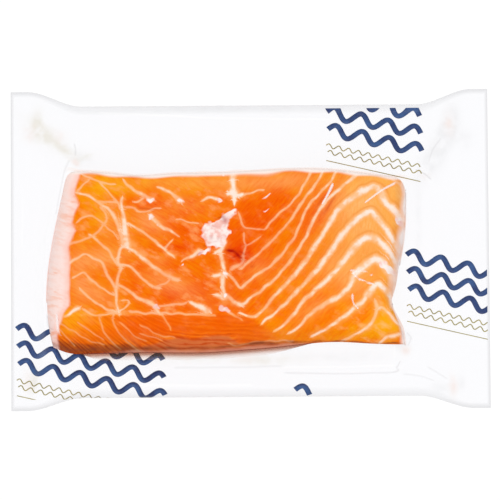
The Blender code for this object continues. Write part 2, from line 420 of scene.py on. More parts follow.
# How far the fish's lines and borders stray, length of their bumps, and seed
strays = {
    "fatX": (0.28, 9, 3),
    "fatY": (0.28, 8, 4),
    "tissueX": (0.5, 4, 5),  # further than the lines of fat
    "tissueY": (0.5, 3.5, 6),
    "membrane": (0.5, 9, 8),
    "rightRim": (0.6, 12, 9),
    "backRim": (0.4, 14, 14),
    "foot": (0.5, 11, 10),
    "footShadowLine": (0.3, 9, 15),
}
# Where the fish's colours change: the place where each zone starts, and where it is whole
zones = {
    # by x
    "lowRidge": (-6, 10),
    "frontSide": (22, -2),
    "rightGrain": (-22, -2),
    "crestGrain": (52, 60),
    "golden": (24, 48),
    "clearer": (-24, 4),
    "cloudier": (30, 56),
    "footEnd": (71, 66),
    "footBrown": (60, 20),
    "footFuller": (-52, -38),
    "footShade": (-46, -56),
    "footPaleLeft": (-70, -50),
    "footPaleRight": (30, 22),
    # by the distance in from the membrane's border, the right side, the back's outline or the foot
    "flesh": (-0.6, 0.8),
    "sideVeil": (3.0, 1.0),
    "sidePallor": (1.3, 0.3),
    "backBare": (-0.5, 0.9),
    "nearFoot": (16, 8),
    # by the distance below the brown foot's border, and by the height against the painted shadow line's
    "stripes": (-3, 1),
    "brown": (-0.5, 1.4),
    "pale": (0.9, 0.1),
    # by height: the back's pale rim ends below its silhouette
    "upperBack": (9, 19),
}

# Lines of fat, read off the shown side: points, half width at the start and the end, and whiteness.
# A line's y is where it lies at the fish's full height, so it also crosses the sides, by the lean above.
rightLines = (
    (((28.5, 28), (22.5, 16.5), (17.5, 10.5), (12, 5.5), (7, -0.5)), (0.5, 0.45), 0.75),
    (((34, 29.5), (31, 22.5), (24.5, 13.5), (18.5, 3.5), (11, -5.5), (2.5, -14), (-4, -20)),
     (0.5, 0.5), 0.8),
    (((40, 28), (37, 22.5), (33, 18), (25.5, 8.5), (21, -3), (15.5, -11.5), (9.5, -18.5), (1, -24.5),
      (-4, -29.5), (-6.5, -26.5), (-10, -22.5)), (0.5, 0.55), 0.85),
    (((51, 27.5), (44.5, 22), (35, 13), (29.5, 4.5), (24, -7.5), (15.5, -20), (8, -28), (0, -34.5),
      (-4.5, -37.5), (-10, -34), (-13, -29.5)), (0.7, 0.5), 0.88),
    (((-4.5, -42), (1, -43.5), (5, -41), (11, -33.5), (22, -21), (28, -11.5), (34.5, -1), (41, 9.5),
      (51, 17.5)), (0.5, 1.25), 0.95),
    (((51, 17.5), (56.5, 19.5), (59, 17.5), (61.5, 12), (64, 9.5), (69.5, 3.5)), (1.35, 1.6), 1.0),
    (((5, -47), (13, -40), (20, -32.5), (28.5, -23), (35, -14.5), (41, -5), (48, 3.5)), (0.5, 1.3), 0.95),
    (((48, 3.5), (54.5, 7.5), (56.5, 5.5), (62, -1.5), (66, -9.5), (68.5, -12.5)), (1.4, 1.2), 1.0),
    (((11, -51), (19, -43.5), (24.5, -35.5), (34.5, -26), (41, -18.5), (47.5, -9.5)), (0.5, 1.3), 0.95),
    (((47.5, -9.5), (53.5, -5), (59, -7.5), (64, -14), (67.5, -21)), (1.5, 1.2), 1.0),
    (((17, -52), (20.5, -50), (27.5, -42), (35, -37), (43, -31.5), (47.5, -23)), (0.5, 1.2), 0.9),
    (((47.5, -23), (53, -18), (56.5, -16), (59.5, -17), (62.5, -21), (66, -26)), (1.5, 1.9), 1.0),
    (((27.5, -53.5), (32, -51), (41, -45), (49.5, -37.5), (53, -33.5)), (0.5, 1.0), 0.88),
    (((53, -33.5), (57, -28), (60.5, -30), (63.5, -34.5), (64, -39)), (1.35, 0.9), 0.98),
    (((41, -56), (49.5, -51.5), (54.5, -47.5), (58, -40), (62, -41.5), (65, -45.5), (69, -49)),
     (0.5, 0.7), 0.8),
    (((58, -40), (56.5, -36)), (0.7, 0.5), 0.7),
    (((58.5, -57), (62, -54), (67, -53)), (0.6, 0.8), 0.8),
    (((64, 24), (68, 20.5), (71, 16)), (0.5, 0.5), 0.5),
    (((-5, 7), (-3, 0.5), (0.5, -0.5), (6.5, -1)), (0.4, 0.35), 0.5),
    (((-3, -3), (-1.5, -8.5), (2.5, -6.5), (5, -4.5)), (0.4, 0.35), 0.5),
    (((-1.5, -8.5), (-3, -13), (-3.5, -17), (-8, -20)), (0.4, 0.8), 0.6),
)
septumLines = (
    (((-7.5, 25), (-7.5, 22), (-7, 18.5)), (1.3, 0.7), 1.0),
    (((-7.3, 17.5), (-7, 14.5), (-7, 11.5)), (1.7, 0.5), 1.0),
    (((-9.5, 16.5), (-3.5, 16)), (0.8, 0.8), 1.0),
    (((-3.5, 15.5), (0.5, 17), (6, 18.5)), (0.5, 0.35), 0.7),
    (((-21.5, 13.5), (-18, 15), (-15, 14)), (0.45, 0.7), 0.9),
    (((-11.5, -7), (-13, -12), (-12.5, -17), (-11.5, -22)), (0.9, 0.7), 0.98),
    (((-12.7, -23.5), (-12, -31), (-10, -34), (-4.5, -38)), (0.8, 0.8), 0.96),
    (((-16, -23.5), (-11.5, -22.5)), (0.8, 1.0), 1.0),
    (((-15.5, -12), (-12.5, -10.5)), (0.7, 0.8), 0.95),
    (((-15.5, -33), (-10.5, -34)), (0.9, 1.2), 0.95),
    (((-27, -36.5), (-23.5, -38), (-19.5, -40.5)), (0.7, 1.4), 1.0),
    (((-9.5, -41.5), (-4, -45)), (0.6, 0.5), 0.7),
    (((-30.5, -16), (-26, -13.5), (-23, -11.5)), (0.4, 0.9), 0.9),
)
middleLines = (
    (((-57, 23.5), (-55, 21), (-52, 18.5), (-47, 15.5), (-44.5, 14)), (0.45, 0.85), 0.85),
    (((-52.5, 13), (-50, 13.5), (-48, 14.5)), (0.4, 0.5), 0.7),
    (((-41.5, 20), (-37, 18), (-33, 15), (-31.5, 13)), (0.4, 1.0), 0.85),
    (((-56, 10.5), (-53, 10), (-50.5, 8), (-46.5, 8.5), (-40.5, 10)), (0.45, 0.3), 0.6),
    (((-45, 6), (-43, 4), (-39.5, 0.5), (-36, -1.5), (-32.5, -4)), (0.9, 0.35), 0.8),
    (((-55.5, 2.5), (-49.5, -1), (-45, -4.5), (-40.5, -9), (-38, -11), (-35, -14)), (0.45, 0.5), 0.82),
    (((-38.5, -9.5), (-35, -6)), (0.5, 0.3), 0.7),
    (((-55, -9.5), (-49.5, -13.5), (-45, -18), (-40, -21.5), (-36, -24), (-32.5, -25.5)), (0.6, 0.8), 0.9),
    (((-59.5, -17.5), (-55, -18.5), (-51, -22), (-45.5, -27.5), (-41, -29.5)), (0.5, 0.55), 0.85),
    (((-60.5, -27.5), (-55.5, -30), (-50, -34.5), (-46, -36), (-43.5, -38.5)), (0.5, 0.8), 0.85),
    (((-33, 4), (-30, 4), (-27, 2.5), (-23.5, 2.5)), (0.3, 0.3), 0.55),
    (((-44, -29), (-38.5, -27), (-36, -24.5)), (0.4, 0.4), 0.45),
    (((-41, -38), (-35, -37.5), (-29, -36.5)), (0.5, 0.5), 0.5),
    (((-54.5, -40.5), (-47.5, -41.5), (-41, -41.5), (-30, -42), (-16, -43)), (0.5, 0.45), 0.6),
    (((-43.5, -38.5), (-41, -42)), (0.9, 0.6), 0.8),
    (((-57.5, -35), (-55, -36), (-56, -38.5), (-59.5, -40)), (0.35, 0.3), 0.8),
)
leftLines = (
    (((-57.5, 15), (-58, 9.5), (-57.5, 6.5), (-57, 1.5), (-55.5, -8.5)), (0.5, 1.4), 1.0),
    (((-55.5, -8.5), (-59, -10.5), (-59.5, -16.5), (-58.5, -19.5), (-60.5, -26), (-60.5, -34), (-59.5, -42)),
     (0.6, 0.55), 0.85),
    (((-76.5, 27.5), (-70, 23.5), (-61, 21.5)), (0.4, 0.35), 0.6),
    (((-68.5, 23), (-65.5, 19.5), (-62.5, 15.5), (-59.5, 12.5), (-59, 9.5)), (0.4, 0.45), 0.65),
    (((-78, 17.5), (-73, 16), (-69.5, 13.5), (-66, 11), (-62.5, 8), (-60, 3), (-58, -5), (-56.5, -9)),
     (0.45, 0.8), 0.85),
    (((-78, 18.5), (-75.5, 21.5), (-73, 23.5)), (0.35, 0.3), 0.5),
    (((-69.5, 13.5), (-64.5, 13), (-59.5, 12.5)), (0.4, 0.4), 0.6),
    (((-78.5, 3), (-75.5, 5.5), (-72.5, 6.5), (-69, 4.5), (-66, 1.5), (-62.5, -1.5), (-60, -5)),
     (0.35, 0.4), 0.5),
    (((-82.5, -8), (-74.5, -5), (-69, -2), (-65.5, 3), (-65, 6.5), (-67.5, 10.5)), (0.5, 0.5), 0.45),
    (((-72.5, -3), (-69, -6), (-65, -9.5), (-62.5, -13.5), (-59.5, -17.5)), (0.45, 0.55), 0.8),
    (((-81.5, -17), (-78, -14), (-74, -12.5), (-70.5, -14.5), (-67, -17), (-64.5, -23), (-60.5, -29.5)),
     (0.45, 0.5), 0.75),
    (((-80.5, -24), (-77, -22), (-74.5, -22), (-71.5, -26), (-66.5, -29.5), (-61.5, -32.5)),
     (0.4, 0.45), 0.65),
    (((-77, -29.5), (-73.5, -33.5), (-70.5, -35.5), (-64.5, -39.5), (-61, -41)), (0.45, 0.5), 0.75),
    (((-84, -43), (-82.5, -42), (-78, -38.5)), (0.4, 0.9), 0.92),
    (((-75.5, -39.5), (-71.5, -42), (-69, -42.5), (-63.5, -41.5), (-59, -41.5)), (0.4, 0.45), 0.6),
)
frontLines = (
    (((-85.5, -46.5), (-79.5, -50.5), (-72.5, -55), (-66.5, -56.5)), (0.4, 0.4), 0.5),
    (((-86.5, -49), (-83, -53.5), (-79.5, -57)), (0.4, 0.4), 0.45),
    (((-78, -46), (-72.5, -50), (-67, -54)), (0.4, 0.4), 0.45),
    (((-68.5, -43), (-68, -46), (-66, -51), (-62.5, -56), (-59, -59)), (0.45, 0.4), 0.6),
    (((-62, -42), (-62, -45), (-60, -50), (-57, -54), (-50, -61)), (0.45, 0.4), 0.55),
    (((-59, -46), (-52.5, -52.5), (-47.5, -55)), (0.4, 0.4), 0.5),
    (((-49.5, -47.5), (-43, -51.5), (-35, -53.5)), (0.45, 0.4), 0.5),
    (((-40.5, -42), (-37, -47.5), (-36.5, -49)), (0.5, 0.5), 0.7),
    (((-49.5, -51.5), (-40.5, -54.5)), (0.4, 0.4), 0.45),
    (((-9.8, -56.3), (-6.1, -57.8), (2.5, -55.9), (18.4, -55.4)), (0.4, 0.4), 0.45),
)

# Soft spots of colour: centre, radii, turn in degrees, and amount. Above 0 is more yellow, below 0 redder.
toneSpots = (
    ((-66, 21), (12, 7), 0, 0.5),
    ((-70, 8), (8, 7), 0, 0.25),
    ((-76, -43), (12, 4), 0, 0.7),
    ((-68, -16), (14, 34), 0, 0.22),
    ((62, 8), (12, 14), 60, 0.5),
    ((50, 20), (16, 8), 0, 0.45),
    ((65, -25), (6, 14), 0, 0.6),
    ((60, 19), (8, 5), -40, 0.3),
    ((52, -50), (20, 6), 10, 0.65),
    ((66, -47), (9, 9), 0, 0.6),
    ((-30, 22), (36, 5), 0, 0.4),
    ((45, -12), (14, 12), 45, 0.25),
    ((15, -35), (16, 9), 45, 0.2),
    ((-5.5, -13.5), (7, 6), 0, -0.9),
    ((0, -2), (14, 10), 30, -0.4),
    ((8, 10), (14, 7), 10, -0.3),
    # painted shade between flakes, as a redder tone
    ((34, 11), (4, 13), -35, -0.8),
    ((-47, 12), (10, 3.5), -10, -0.6),
    ((-29, -1), (11, 5), -10, -0.5),
    ((-33, -9.5), (9, 2.5), 5, -0.6),
    ((-52, -18), (5, 5), 0, -0.3),
    ((-66, -24), (7, 4), -20, -0.3),
    ((-6, -40), (14, 4), 0, -0.25),
    ((-30, -34), (9, 5), -20, -0.2),
    ((58, 0), (20, 32), 0, 0.3),
    ((-84, -50), (8, 6), 0, 0.8),
    ((-46, -50), (11, 5), 0, -0.7),
    ((14, -52), (20, 5), 0, 0.35),
    ((-26, -32), (26, 8), 0, -0.35),
    ((4, -8), (22, 20), 0, -0.12),
    ((-62, 4), (16, 26), 0, 0.14),
    ((0, 25), (60, 5), 0, 0.2),
    ((55, -34), (16, 12), 0, 0.2),
    ((58, 8), (14, 18), 0, 0.15),
    ((-40, -20), (20, 10), 0, -0.1),
)
paleSpots = (  # where fat just under the surface makes the flesh look peach
    ((-45, 3), (7, 4.5), -30, 0.65),
    ((-64, 3), (4, 9), 0, 0.3),
    ((-68, -14.5), (11, 4.5), 8, 0.6),
    ((-77, -24), (4, 14), 0, 0.35),
    ((-70.5, -31.5), (9, 4), -30, 0.5),
    ((-40.5, -16), (4, 3), 0, 0.25),
    ((-38, -26.5), (10, 4), -20, 0.42),
    ((-30, -30), (9, 5), -20, 0.22),
    ((-30, 11), (12, 5), 0, 0.2),
    ((-20, 22), (30, 3), 0, 0.35),
    ((6, 22), (18, 4), 0, 0.3),
    ((56, 4), (16, 24), 0, 0.55),
    ((20, 24), (9, 4), 0, 0.35),
    ((50, -2), (9, 8), 40, 0.2),
    ((46, -24), (8, 8), 40, 0.45),
    ((38, -18), (8, 5), 40, 0.3),
    ((50, 14), (14, 8), 30, 0.45),
    ((28, -40), (8, 4), 40, 0.3),
    ((4, -20), (6, 5), 40, 0.25),
    ((70, 16), (4, 10), 10, 0.5),
)
tissueSpots = (  # white connective tissue between the two halves of the fillet
    ((-9, 7), (3.6, 1.5), 28, 1.2),
    ((-11.5, 4), (3.2, 1.8), 50, 0.9),
    ((-16, 0.8), (5.8, 2.5), 18, 1.3),
    ((-12, -2.2), (3.2, 3.2), 0, 1.1),
    ((-18, -3.6), (3.6, 2.6), 0, 1.0),
    ((-16.2, -7.6), (4.2, 2.0), -8, 1.1),
    ((-12.5, -6.4), (1.6, 2.6), -10, 0.9),
    ((-21, -11.9), (3, 1.5), 22, 1.2),
    ((-44.5, 5.8), (2, 1.6), -20, 0.8),
    ((-41.5, 1.8), (2, 0.9), -20, 0.6),
    ((-31.5, 13.5), (2.2, 1.2), -20, 0.8),
    ((-44.8, 13.8), (2.4, 1.2), 0, 0.9),
    ((-13.5, 13.5), (1.4, 1), 0, 0.9),
    ((8, 15), (2.2, 1), 28, 1.1),
    ((7.5, 8.5), (2, 0.9), 15, 0.75),
    ((-12, -39.5), (3.2, 1.4), -25, 1.05),
    ((-11.5, -22.5), (1.4, 1.4), 0, 0.8),
    ((-11, -33), (1.6, 1.6), 0, 0.9),
    ((-42.5, -38.5), (1.8, 1.6), 0, 0.8),
    ((62.5, -20.5), (6, 1.9), -42, 1.2),
    ((67.8, 2.5), (1.8, 4.8), 25, 0.9),
    ((-12, 25.5), (0.7, 0.6), 0, 1.0),
    ((-30.5, -18), (0.8, 0.7), 0, 0.9),
)
bloodAndShadeSpots = (
    ((-9, -11.3), (1.8, 0.7), -10, 1.2),
    ((-5.5, -13.4), (2.8, 0.8), -48, 1.0),
    ((-3.8, -12.2), (1.8, 0.5), -35, 0.6),
    ((-7.2, -14.4), (1.2, 0.5), 20, 0.5),
    ((1, -19), (1.0, 0.7), 0, 0.3),
    ((-11.4, 3.9), (1.2, 1.9), 20, 0.6),
    ((-13.4, 5), (1.8, 0.5), 20, 0.5),
    ((-17.6, -4.9), (1.1, 1.2), 20, 0.3),
    ((-14.4, -5.3), (0.7, 0.7), 0, 0.28),
    ((-16, -6.9), (2.2, 0.4), 10, 0.2),
    ((-16.5, 0.7), (1.8, 0.4), -10, 0.22),
    ((-20.6, -8.9), (0.8, 0.7), 0, 0.4),
    ((-23, -12.6), (1.5, 0.5), 25, 0.45),
    ((-47, 9.5), (4, 0.5), -5, 0.35),
    # painted shade: thin dark lines between flakes, not blood
    ((32.5, 13), (0.5, 3.5), -35, 0.3),
    ((35.5, 9.5), (0.5, 3.5), -32, 0.35),
    ((38, 14), (0.5, 3.0), -35, 0.25),
)
# How much duller the fat looks where it lies deeper: centre, radii, turn and share
dullSpots = (
    ((9, -7), (16, 15), 0, 0.42),
    ((18, -37), (20, 14), 0, 0.2),
    ((26, 12), (12, 14), 0, 0.1),
    ((-38, -27), (24, 13), 0, 0.3),
    ((-68, -5), (14, 32), 0, 0.18),
    ((-40, 12), (16, 10), 0, 0.15),
)
blushSpots = (  # pinker places of the membrane
    ((-80, 15), (2.5, 3), 0, 0.8),
    ((-83.3, 6), (4, 6), 0, 0.5),
    ((-80.6, 2.4), (2, 4), 0, 0.7),
    ((-86, -5.4), (2, 3), 0, 0.3),
    ((-89.2, -21.6), (3.5, 1.8), -12, 0.8),
    ((-88.8, -31.4), (4, 1.8), -12, 0.8),
    ((-90.6, -38), (3, 4), 0, 0.4),
    ((-86, -36), (3, 5), 0, 0.3),
    ((-90, -52), (2.5, 6), 0, 1.0),
)
yellowSpots = (((-77, -46), (17, 7), -8, 0.75),)  # where the front side is as light as the shown side
bareSpots = (((68, -36), (9, 9), 0, 0.5),)  # where the right side's pale rim is thin
hatchSpots = (((54, 2), (17, 26), 0, 1),)  # where the flesh is finely ruled across the flakes
# Upper border of the front side's brown foot: x and leaned y
footBorder = (
    (-90, -54), (-82, -55.4), (-74.7, -55.9), (-61, -56.3), (-55, -55.9), (-49.7, -57.3), (-40.6, -55.4),
    (-33.8, -53.2), (-22.5, -53.4), (-17, -52.4), (-9.8, -52.4), (-7.9, -53.9), (-5.2, -56.1), (0, -56.3),
    (6, -55.9), (18, -56.1), (27, -56.4), (38, -56.6), (72, -57.5),
)
# Painted contact shadow, a dark line along the foot: x, height above the front side's lower edge as it
# shows, and half width
footShadowLine = (
    (-90, 1.6, 0.9), (-66, 2.2, 1.0), (-30, 2.4, 0.8), (-5, 2.5, 0.8), (5, 3.0, 1.0), (18, 1.9, 0.8),
    (23, 1.2, 0.7), (34, 0.4, 0.5), (72, 0.3, 0.4),
)
# The skin-side membrane over the left shoulder: how far right it reaches at each leaned y
membraneBorder = (
    (-47.5, -87), (-41.5, -84.5), (-37.5, -82), (-30, -82), (-16, -81.8), (-8, -82.5), (-3.5, -80),
    (-1, -78.5), (3, -80.3), (6.5, -79.5), (11.5, -78), (16.5, -79.5), (21, -78.5), (28.5, -76.5),
)


def shoulderStations(width, count):  # places in a rounded side from its foot in, even along its curve
    climb = np.linspace(0, math.pi / 2, count, endpoint=False)
    return width * (1 - np.cos(climb) ** (2 / fish["shoulderPower"]))


def fishStations(shoulders, counts):  # grid lines from 0 to 1, even along the rounded surface
    first = shoulderStations(shoulders[0], counts[0])
    last = shoulderStations(shoulders[1], counts[2])[::-1]
    top = np.linspace(shoulders[0], 1 - shoulders[1], counts[1] + 1)
    return np.concatenate([first, top, 1 - last])


def gridSheet(columns, rows):  # an open bmesh sheet, and each vertex's column and row in it
    bm = bmesh.new()
    bmesh.ops.create_grid(bm, x_segments=columns, y_segments=rows, size=0.5)
    flat = np.array([vertex.co[:2] for vertex in bm.verts])
    cells = np.rint((flat + 0.5) * (columns, rows)).astype(int)
    return bm, cells[:, 0], cells[:, 1]


def buildFish():
    columns, rows = sum(flesh["columns"]), sum(flesh["rows"])
    bm, column, row = gridSheet(columns, rows)
    left, right, back, front = fish["shoulders"]
    spanX = fish["backRight"][0] - fish["backLeft"][0]
    spanY = fish["backLeft"][1] - fish["frontLeft"][1]
    across = fishStations((front / spanY, back / spanY), flesh["rows"])[row]
    along = fishStations((left / spanX, right / spanX), flesh["columns"])[column]
    y = fish["frontLeft"][1] + spanY * across
    x = fishLeft(y) + (fishRight(y) - fishLeft(y)) * along
    y = fishFront(x) + (fishBack(x) - fishFront(x)) * across
    places = np.stack([x, y, np.maximum(fishTop(x, y), 0)], axis=1)
    grid = np.empty((columns + 1, rows + 1, 3))
    grid[column, row] = places
    normals = np.cross(np.gradient(grid, axis=0), np.gradient(grid, axis=1))
    normals /= np.maximum(np.linalg.norm(normals, axis=2, keepdims=True), 1e-9)
    shrunk = (grid - normals * flesh["gap"])[column, row]
    shrunk[:, 2] = np.maximum(shrunk[:, 2], flesh["lift"] + flesh["footRise"] * row / rows)
    for vertex, place in zip(bm.verts, shrunk):
        vertex.co = place * mm
    closeUnder(bm, flesh["lift"], 1, lambda place: 0, (flesh["underBorder"],))
    return pieceFrom(bm, "salmonPortion")


def closeUnder(bm, level, rings, insetAt, borders=()):
    # Draws an open sheet's rim down to a level, in a quarter circle as wide as insetAt gives, then in
    # along that level by each border, and fills what is left.
    rim = [edge for edge in bm.edges if edge.is_boundary]
    starts = {}
    for ring in range(rings):
        drawn = bmesh.ops.extrude_edge_only(bm, edges=rim)["geom"]
        sweep = math.pi / 2 * (ring + 1) / rings
        for vertex, old in drawnFrom(drawn):
            top, inset = starts.get(old, (old.co.copy(), insetAt(old.co / mm) * mm))
            starts[vertex] = (top, inset)
            vertex.co.y = top.y - math.copysign(inset * (1 - math.cos(sweep)), top.y)
            vertex.co.z = top.z + (level * mm - top.z) * math.sin(sweep)
        rim = [edge for edge in bm.edges if edge.is_boundary]
    for border in borders:
        drawn = bmesh.ops.extrude_edge_only(bm, edges=rim)["geom"]
        for vertex, old in drawnFrom(drawn):
            vertex.co.x *= 1 - border / (pouch["length"] / 2)
            vertex.co.y *= 1 - border / pouch["backEdge"]
        rim = [edge for edge in bm.edges if edge.is_boundary]
    bmesh.ops.contextual_create(bm, geom=rim)
    bmesh.ops.recalc_face_normals(bm, faces=bm.faces)


def drawnFrom(drawn):  # each new vertex of an extruded edge, with the one that it was drawn from
    new = {part for part in drawn if isinstance(part, bmesh.types.BMVert)}
    return [(vertex, next(edge.other_vert(vertex) for edge in vertex.link_edges
                          if edge.other_vert(vertex) not in new)) for vertex in new]


def zone(name, value):  # 0 before one of the fish's zones, 1 in it
    return smoothStep(*zones[name], value)


def stray(name, x, y):
    amount, length, seed = strays[name]
    return amount * ripple(x, y, length, seed)


def fatFields(x, leaned, shaken, frontSide):
    lines = rightLines + septumLines + middleLines + leftLines + frontLines
    side, away, whiteness = lineFields(*shaken, lines)
    whiteness = whiteness * (1 - spotSum(x, leaned, dullSpots)) * (1 - flesh["frontDullness"] * frontSide)
    cloudiness = 1 - flesh["clearer"] * zone("clearer", x) + flesh["cloudier"] * zone("cloudier", x)
    return {
        "fatSide": side,
        "fatAway": away,
        "fatWhiteness": whiteness,
        "cloudiness": cloudiness * (1 - flesh["frontClearness"] * frontSide),
    }


def spotFields(x, y, leaned, shaken):
    raggedX = shaken[0] + stray("tissueX", x, y)
    raggedY = shaken[1] + stray("tissueY", x, y)
    return {
        "tissue": np.clip(spotSum(raggedX, raggedY, tissueSpots), 0, 1.5),
        "tone": spotSum(x, leaned, toneSpots),
        "paleness": np.clip(spotSum(x, leaned, paleSpots), 0, 1),
        "bloodAndShade": np.clip(spotSum(x, leaned, bloodAndShadeSpots), 0, 1),
        "blush": np.clip(spotSum(x, leaned, blushSpots), 0, 1),
        "hatched": spotSum(x, leaned, hatchSpots),
    }


def rimFields(x, y, z, leaned):  # the membrane on the left, and the pale rims at the right and the back
    borderY, borderX = np.array(membraneBorder).T
    border = np.interp(leaned, borderY, borderX)
    inFromMembrane = x - border + stray("membrane", leaned, np.zeros_like(x))
    inFromRight = fishRight(y) - x + stray("rightRim", leaned, x)
    inFromBack = fishBack(x) - flesh["backLean"] - leaned + stray("backRim", x, leaned)
    upper = zone("upperBack", z)
    sideVeil = zone("sideVeil", inFromRight) * (1 - spotSum(x, leaned, bareSpots))
    rimWidth = np.interp(x, *np.array(flesh["backRim"]).T)
    backVeil = upper * (1 - smoothStep(-flesh["rimOverlap"], rimWidth, inFromBack))
    pallor = zone("sidePallor", inFromRight) + upper * (1 - zone("backBare", inFromBack))
    return {
        "membrane": 1 - zone("flesh", inFromMembrane),
        "membraneDepth": np.clip(-inFromMembrane / flesh["membraneWidth"], 0, 1),
        "veil": np.clip(flesh["sideVeil"] * sideVeil + flesh["backVeil"] * backVeil, 0, 1),
        "pallor": np.clip(pallor, 0, 1),
    }


def frontFields(x, y, leaned, frontSide):  # the front side's fan of stripes, and its browner foot: darker meat, with painted shade low down
    places = np.linspace(-90, 80, 341)
    flat, steeper = flesh["fanSlopes"]
    slopes = flat + steeper * (1 - smoothStep(flesh["fanStart"], flesh["fanEnd"], places))
    turned = np.cumsum(slopes) * (places[1] - places[0])
    below = np.interp(x, *np.array(footBorder).T) - leaned + stray("foot", x, leaned)
    atFoot = zone("nearFoot", y - fishFront(x)) * zone("footEnd", x)
    cover, more = flesh["footCover"]
    above = leaned - fishFront(x) + flesh["frontLean"] + stray("footShadowLine", x, leaned)
    lineX, lineHeight, lineHalf = np.array(footShadowLine).T
    centre, half = np.interp(x, lineX, lineHeight), np.interp(x, lineX, lineHalf)
    paleReach = zone("footPaleLeft", x) * zone("footPaleRight", x)
    brown = zone("brown", below) * zone("footBrown", x) * (cover + more * zone("footFuller", x))
    bare = flesh["stripesAbove"]
    return {
        "frontSide": frontSide * (1 - spotSum(x, leaned, yellowSpots)),
        "frontPlace": np.stack([leaned + np.interp(x, places, turned), x, np.zeros_like(x)], axis=1),
        "striped": frontSide * (bare + (1 - bare) * zone("stripes", below)),
        "footBrown": brown * atFoot,
        # painted contact shadow along the foot
        "footShadow": np.exp(-((above - centre) / half) ** 2) * atFoot,
        "footPale": zone("pale", above / centre) * atFoot * paleReach,
        "footShade": zone("footShade", x),
    }


def dressFish(piece):  # gives it the fields that its material reads, and cuts the grooves
    mesh = piece.data
    x, y, z = placesOf(mesh).T
    leaned = y + flesh["lean"] * (z - fish["height"])
    shaken = [x + stray("fatX", x, leaned), leaned + stray("fatY", x, leaned)]
    further = zone("lowRidge", x)
    softness, softer = flesh["ridgeSoftness"]
    ridge = flesh["frontRidge"] - flesh["ridgeDrop"] * further
    frontSide = smoothStep(0, softness + softer * further, ridge - leaned) * zone("frontSide", x)
    fields = {
        "leaned": np.stack([x, leaned, np.zeros_like(x)], axis=1),
        "rightGrain": zone("rightGrain", x),
        "crestGrain": zone("crestGrain", x),
        "golden": zone("golden", x),
        **fatFields(x, leaned, shaken, frontSide),
        **spotFields(x, y, leaned, shaken),
        **rimFields(x, y, z, leaned),
        **frontFields(x, y, leaned, frontSide),
    }
    for name, values in fields.items():
        setField(mesh, name, values)
    depth = flesh["groove"] * fields["fatWhiteness"] * np.exp(-fields["fatAway"] ** 2)
    depth = depth * smoothStep(*flesh["grooved"], fishSides(x, y))
    setPlaces(mesh, np.stack([x, y, z - depth], axis=1))


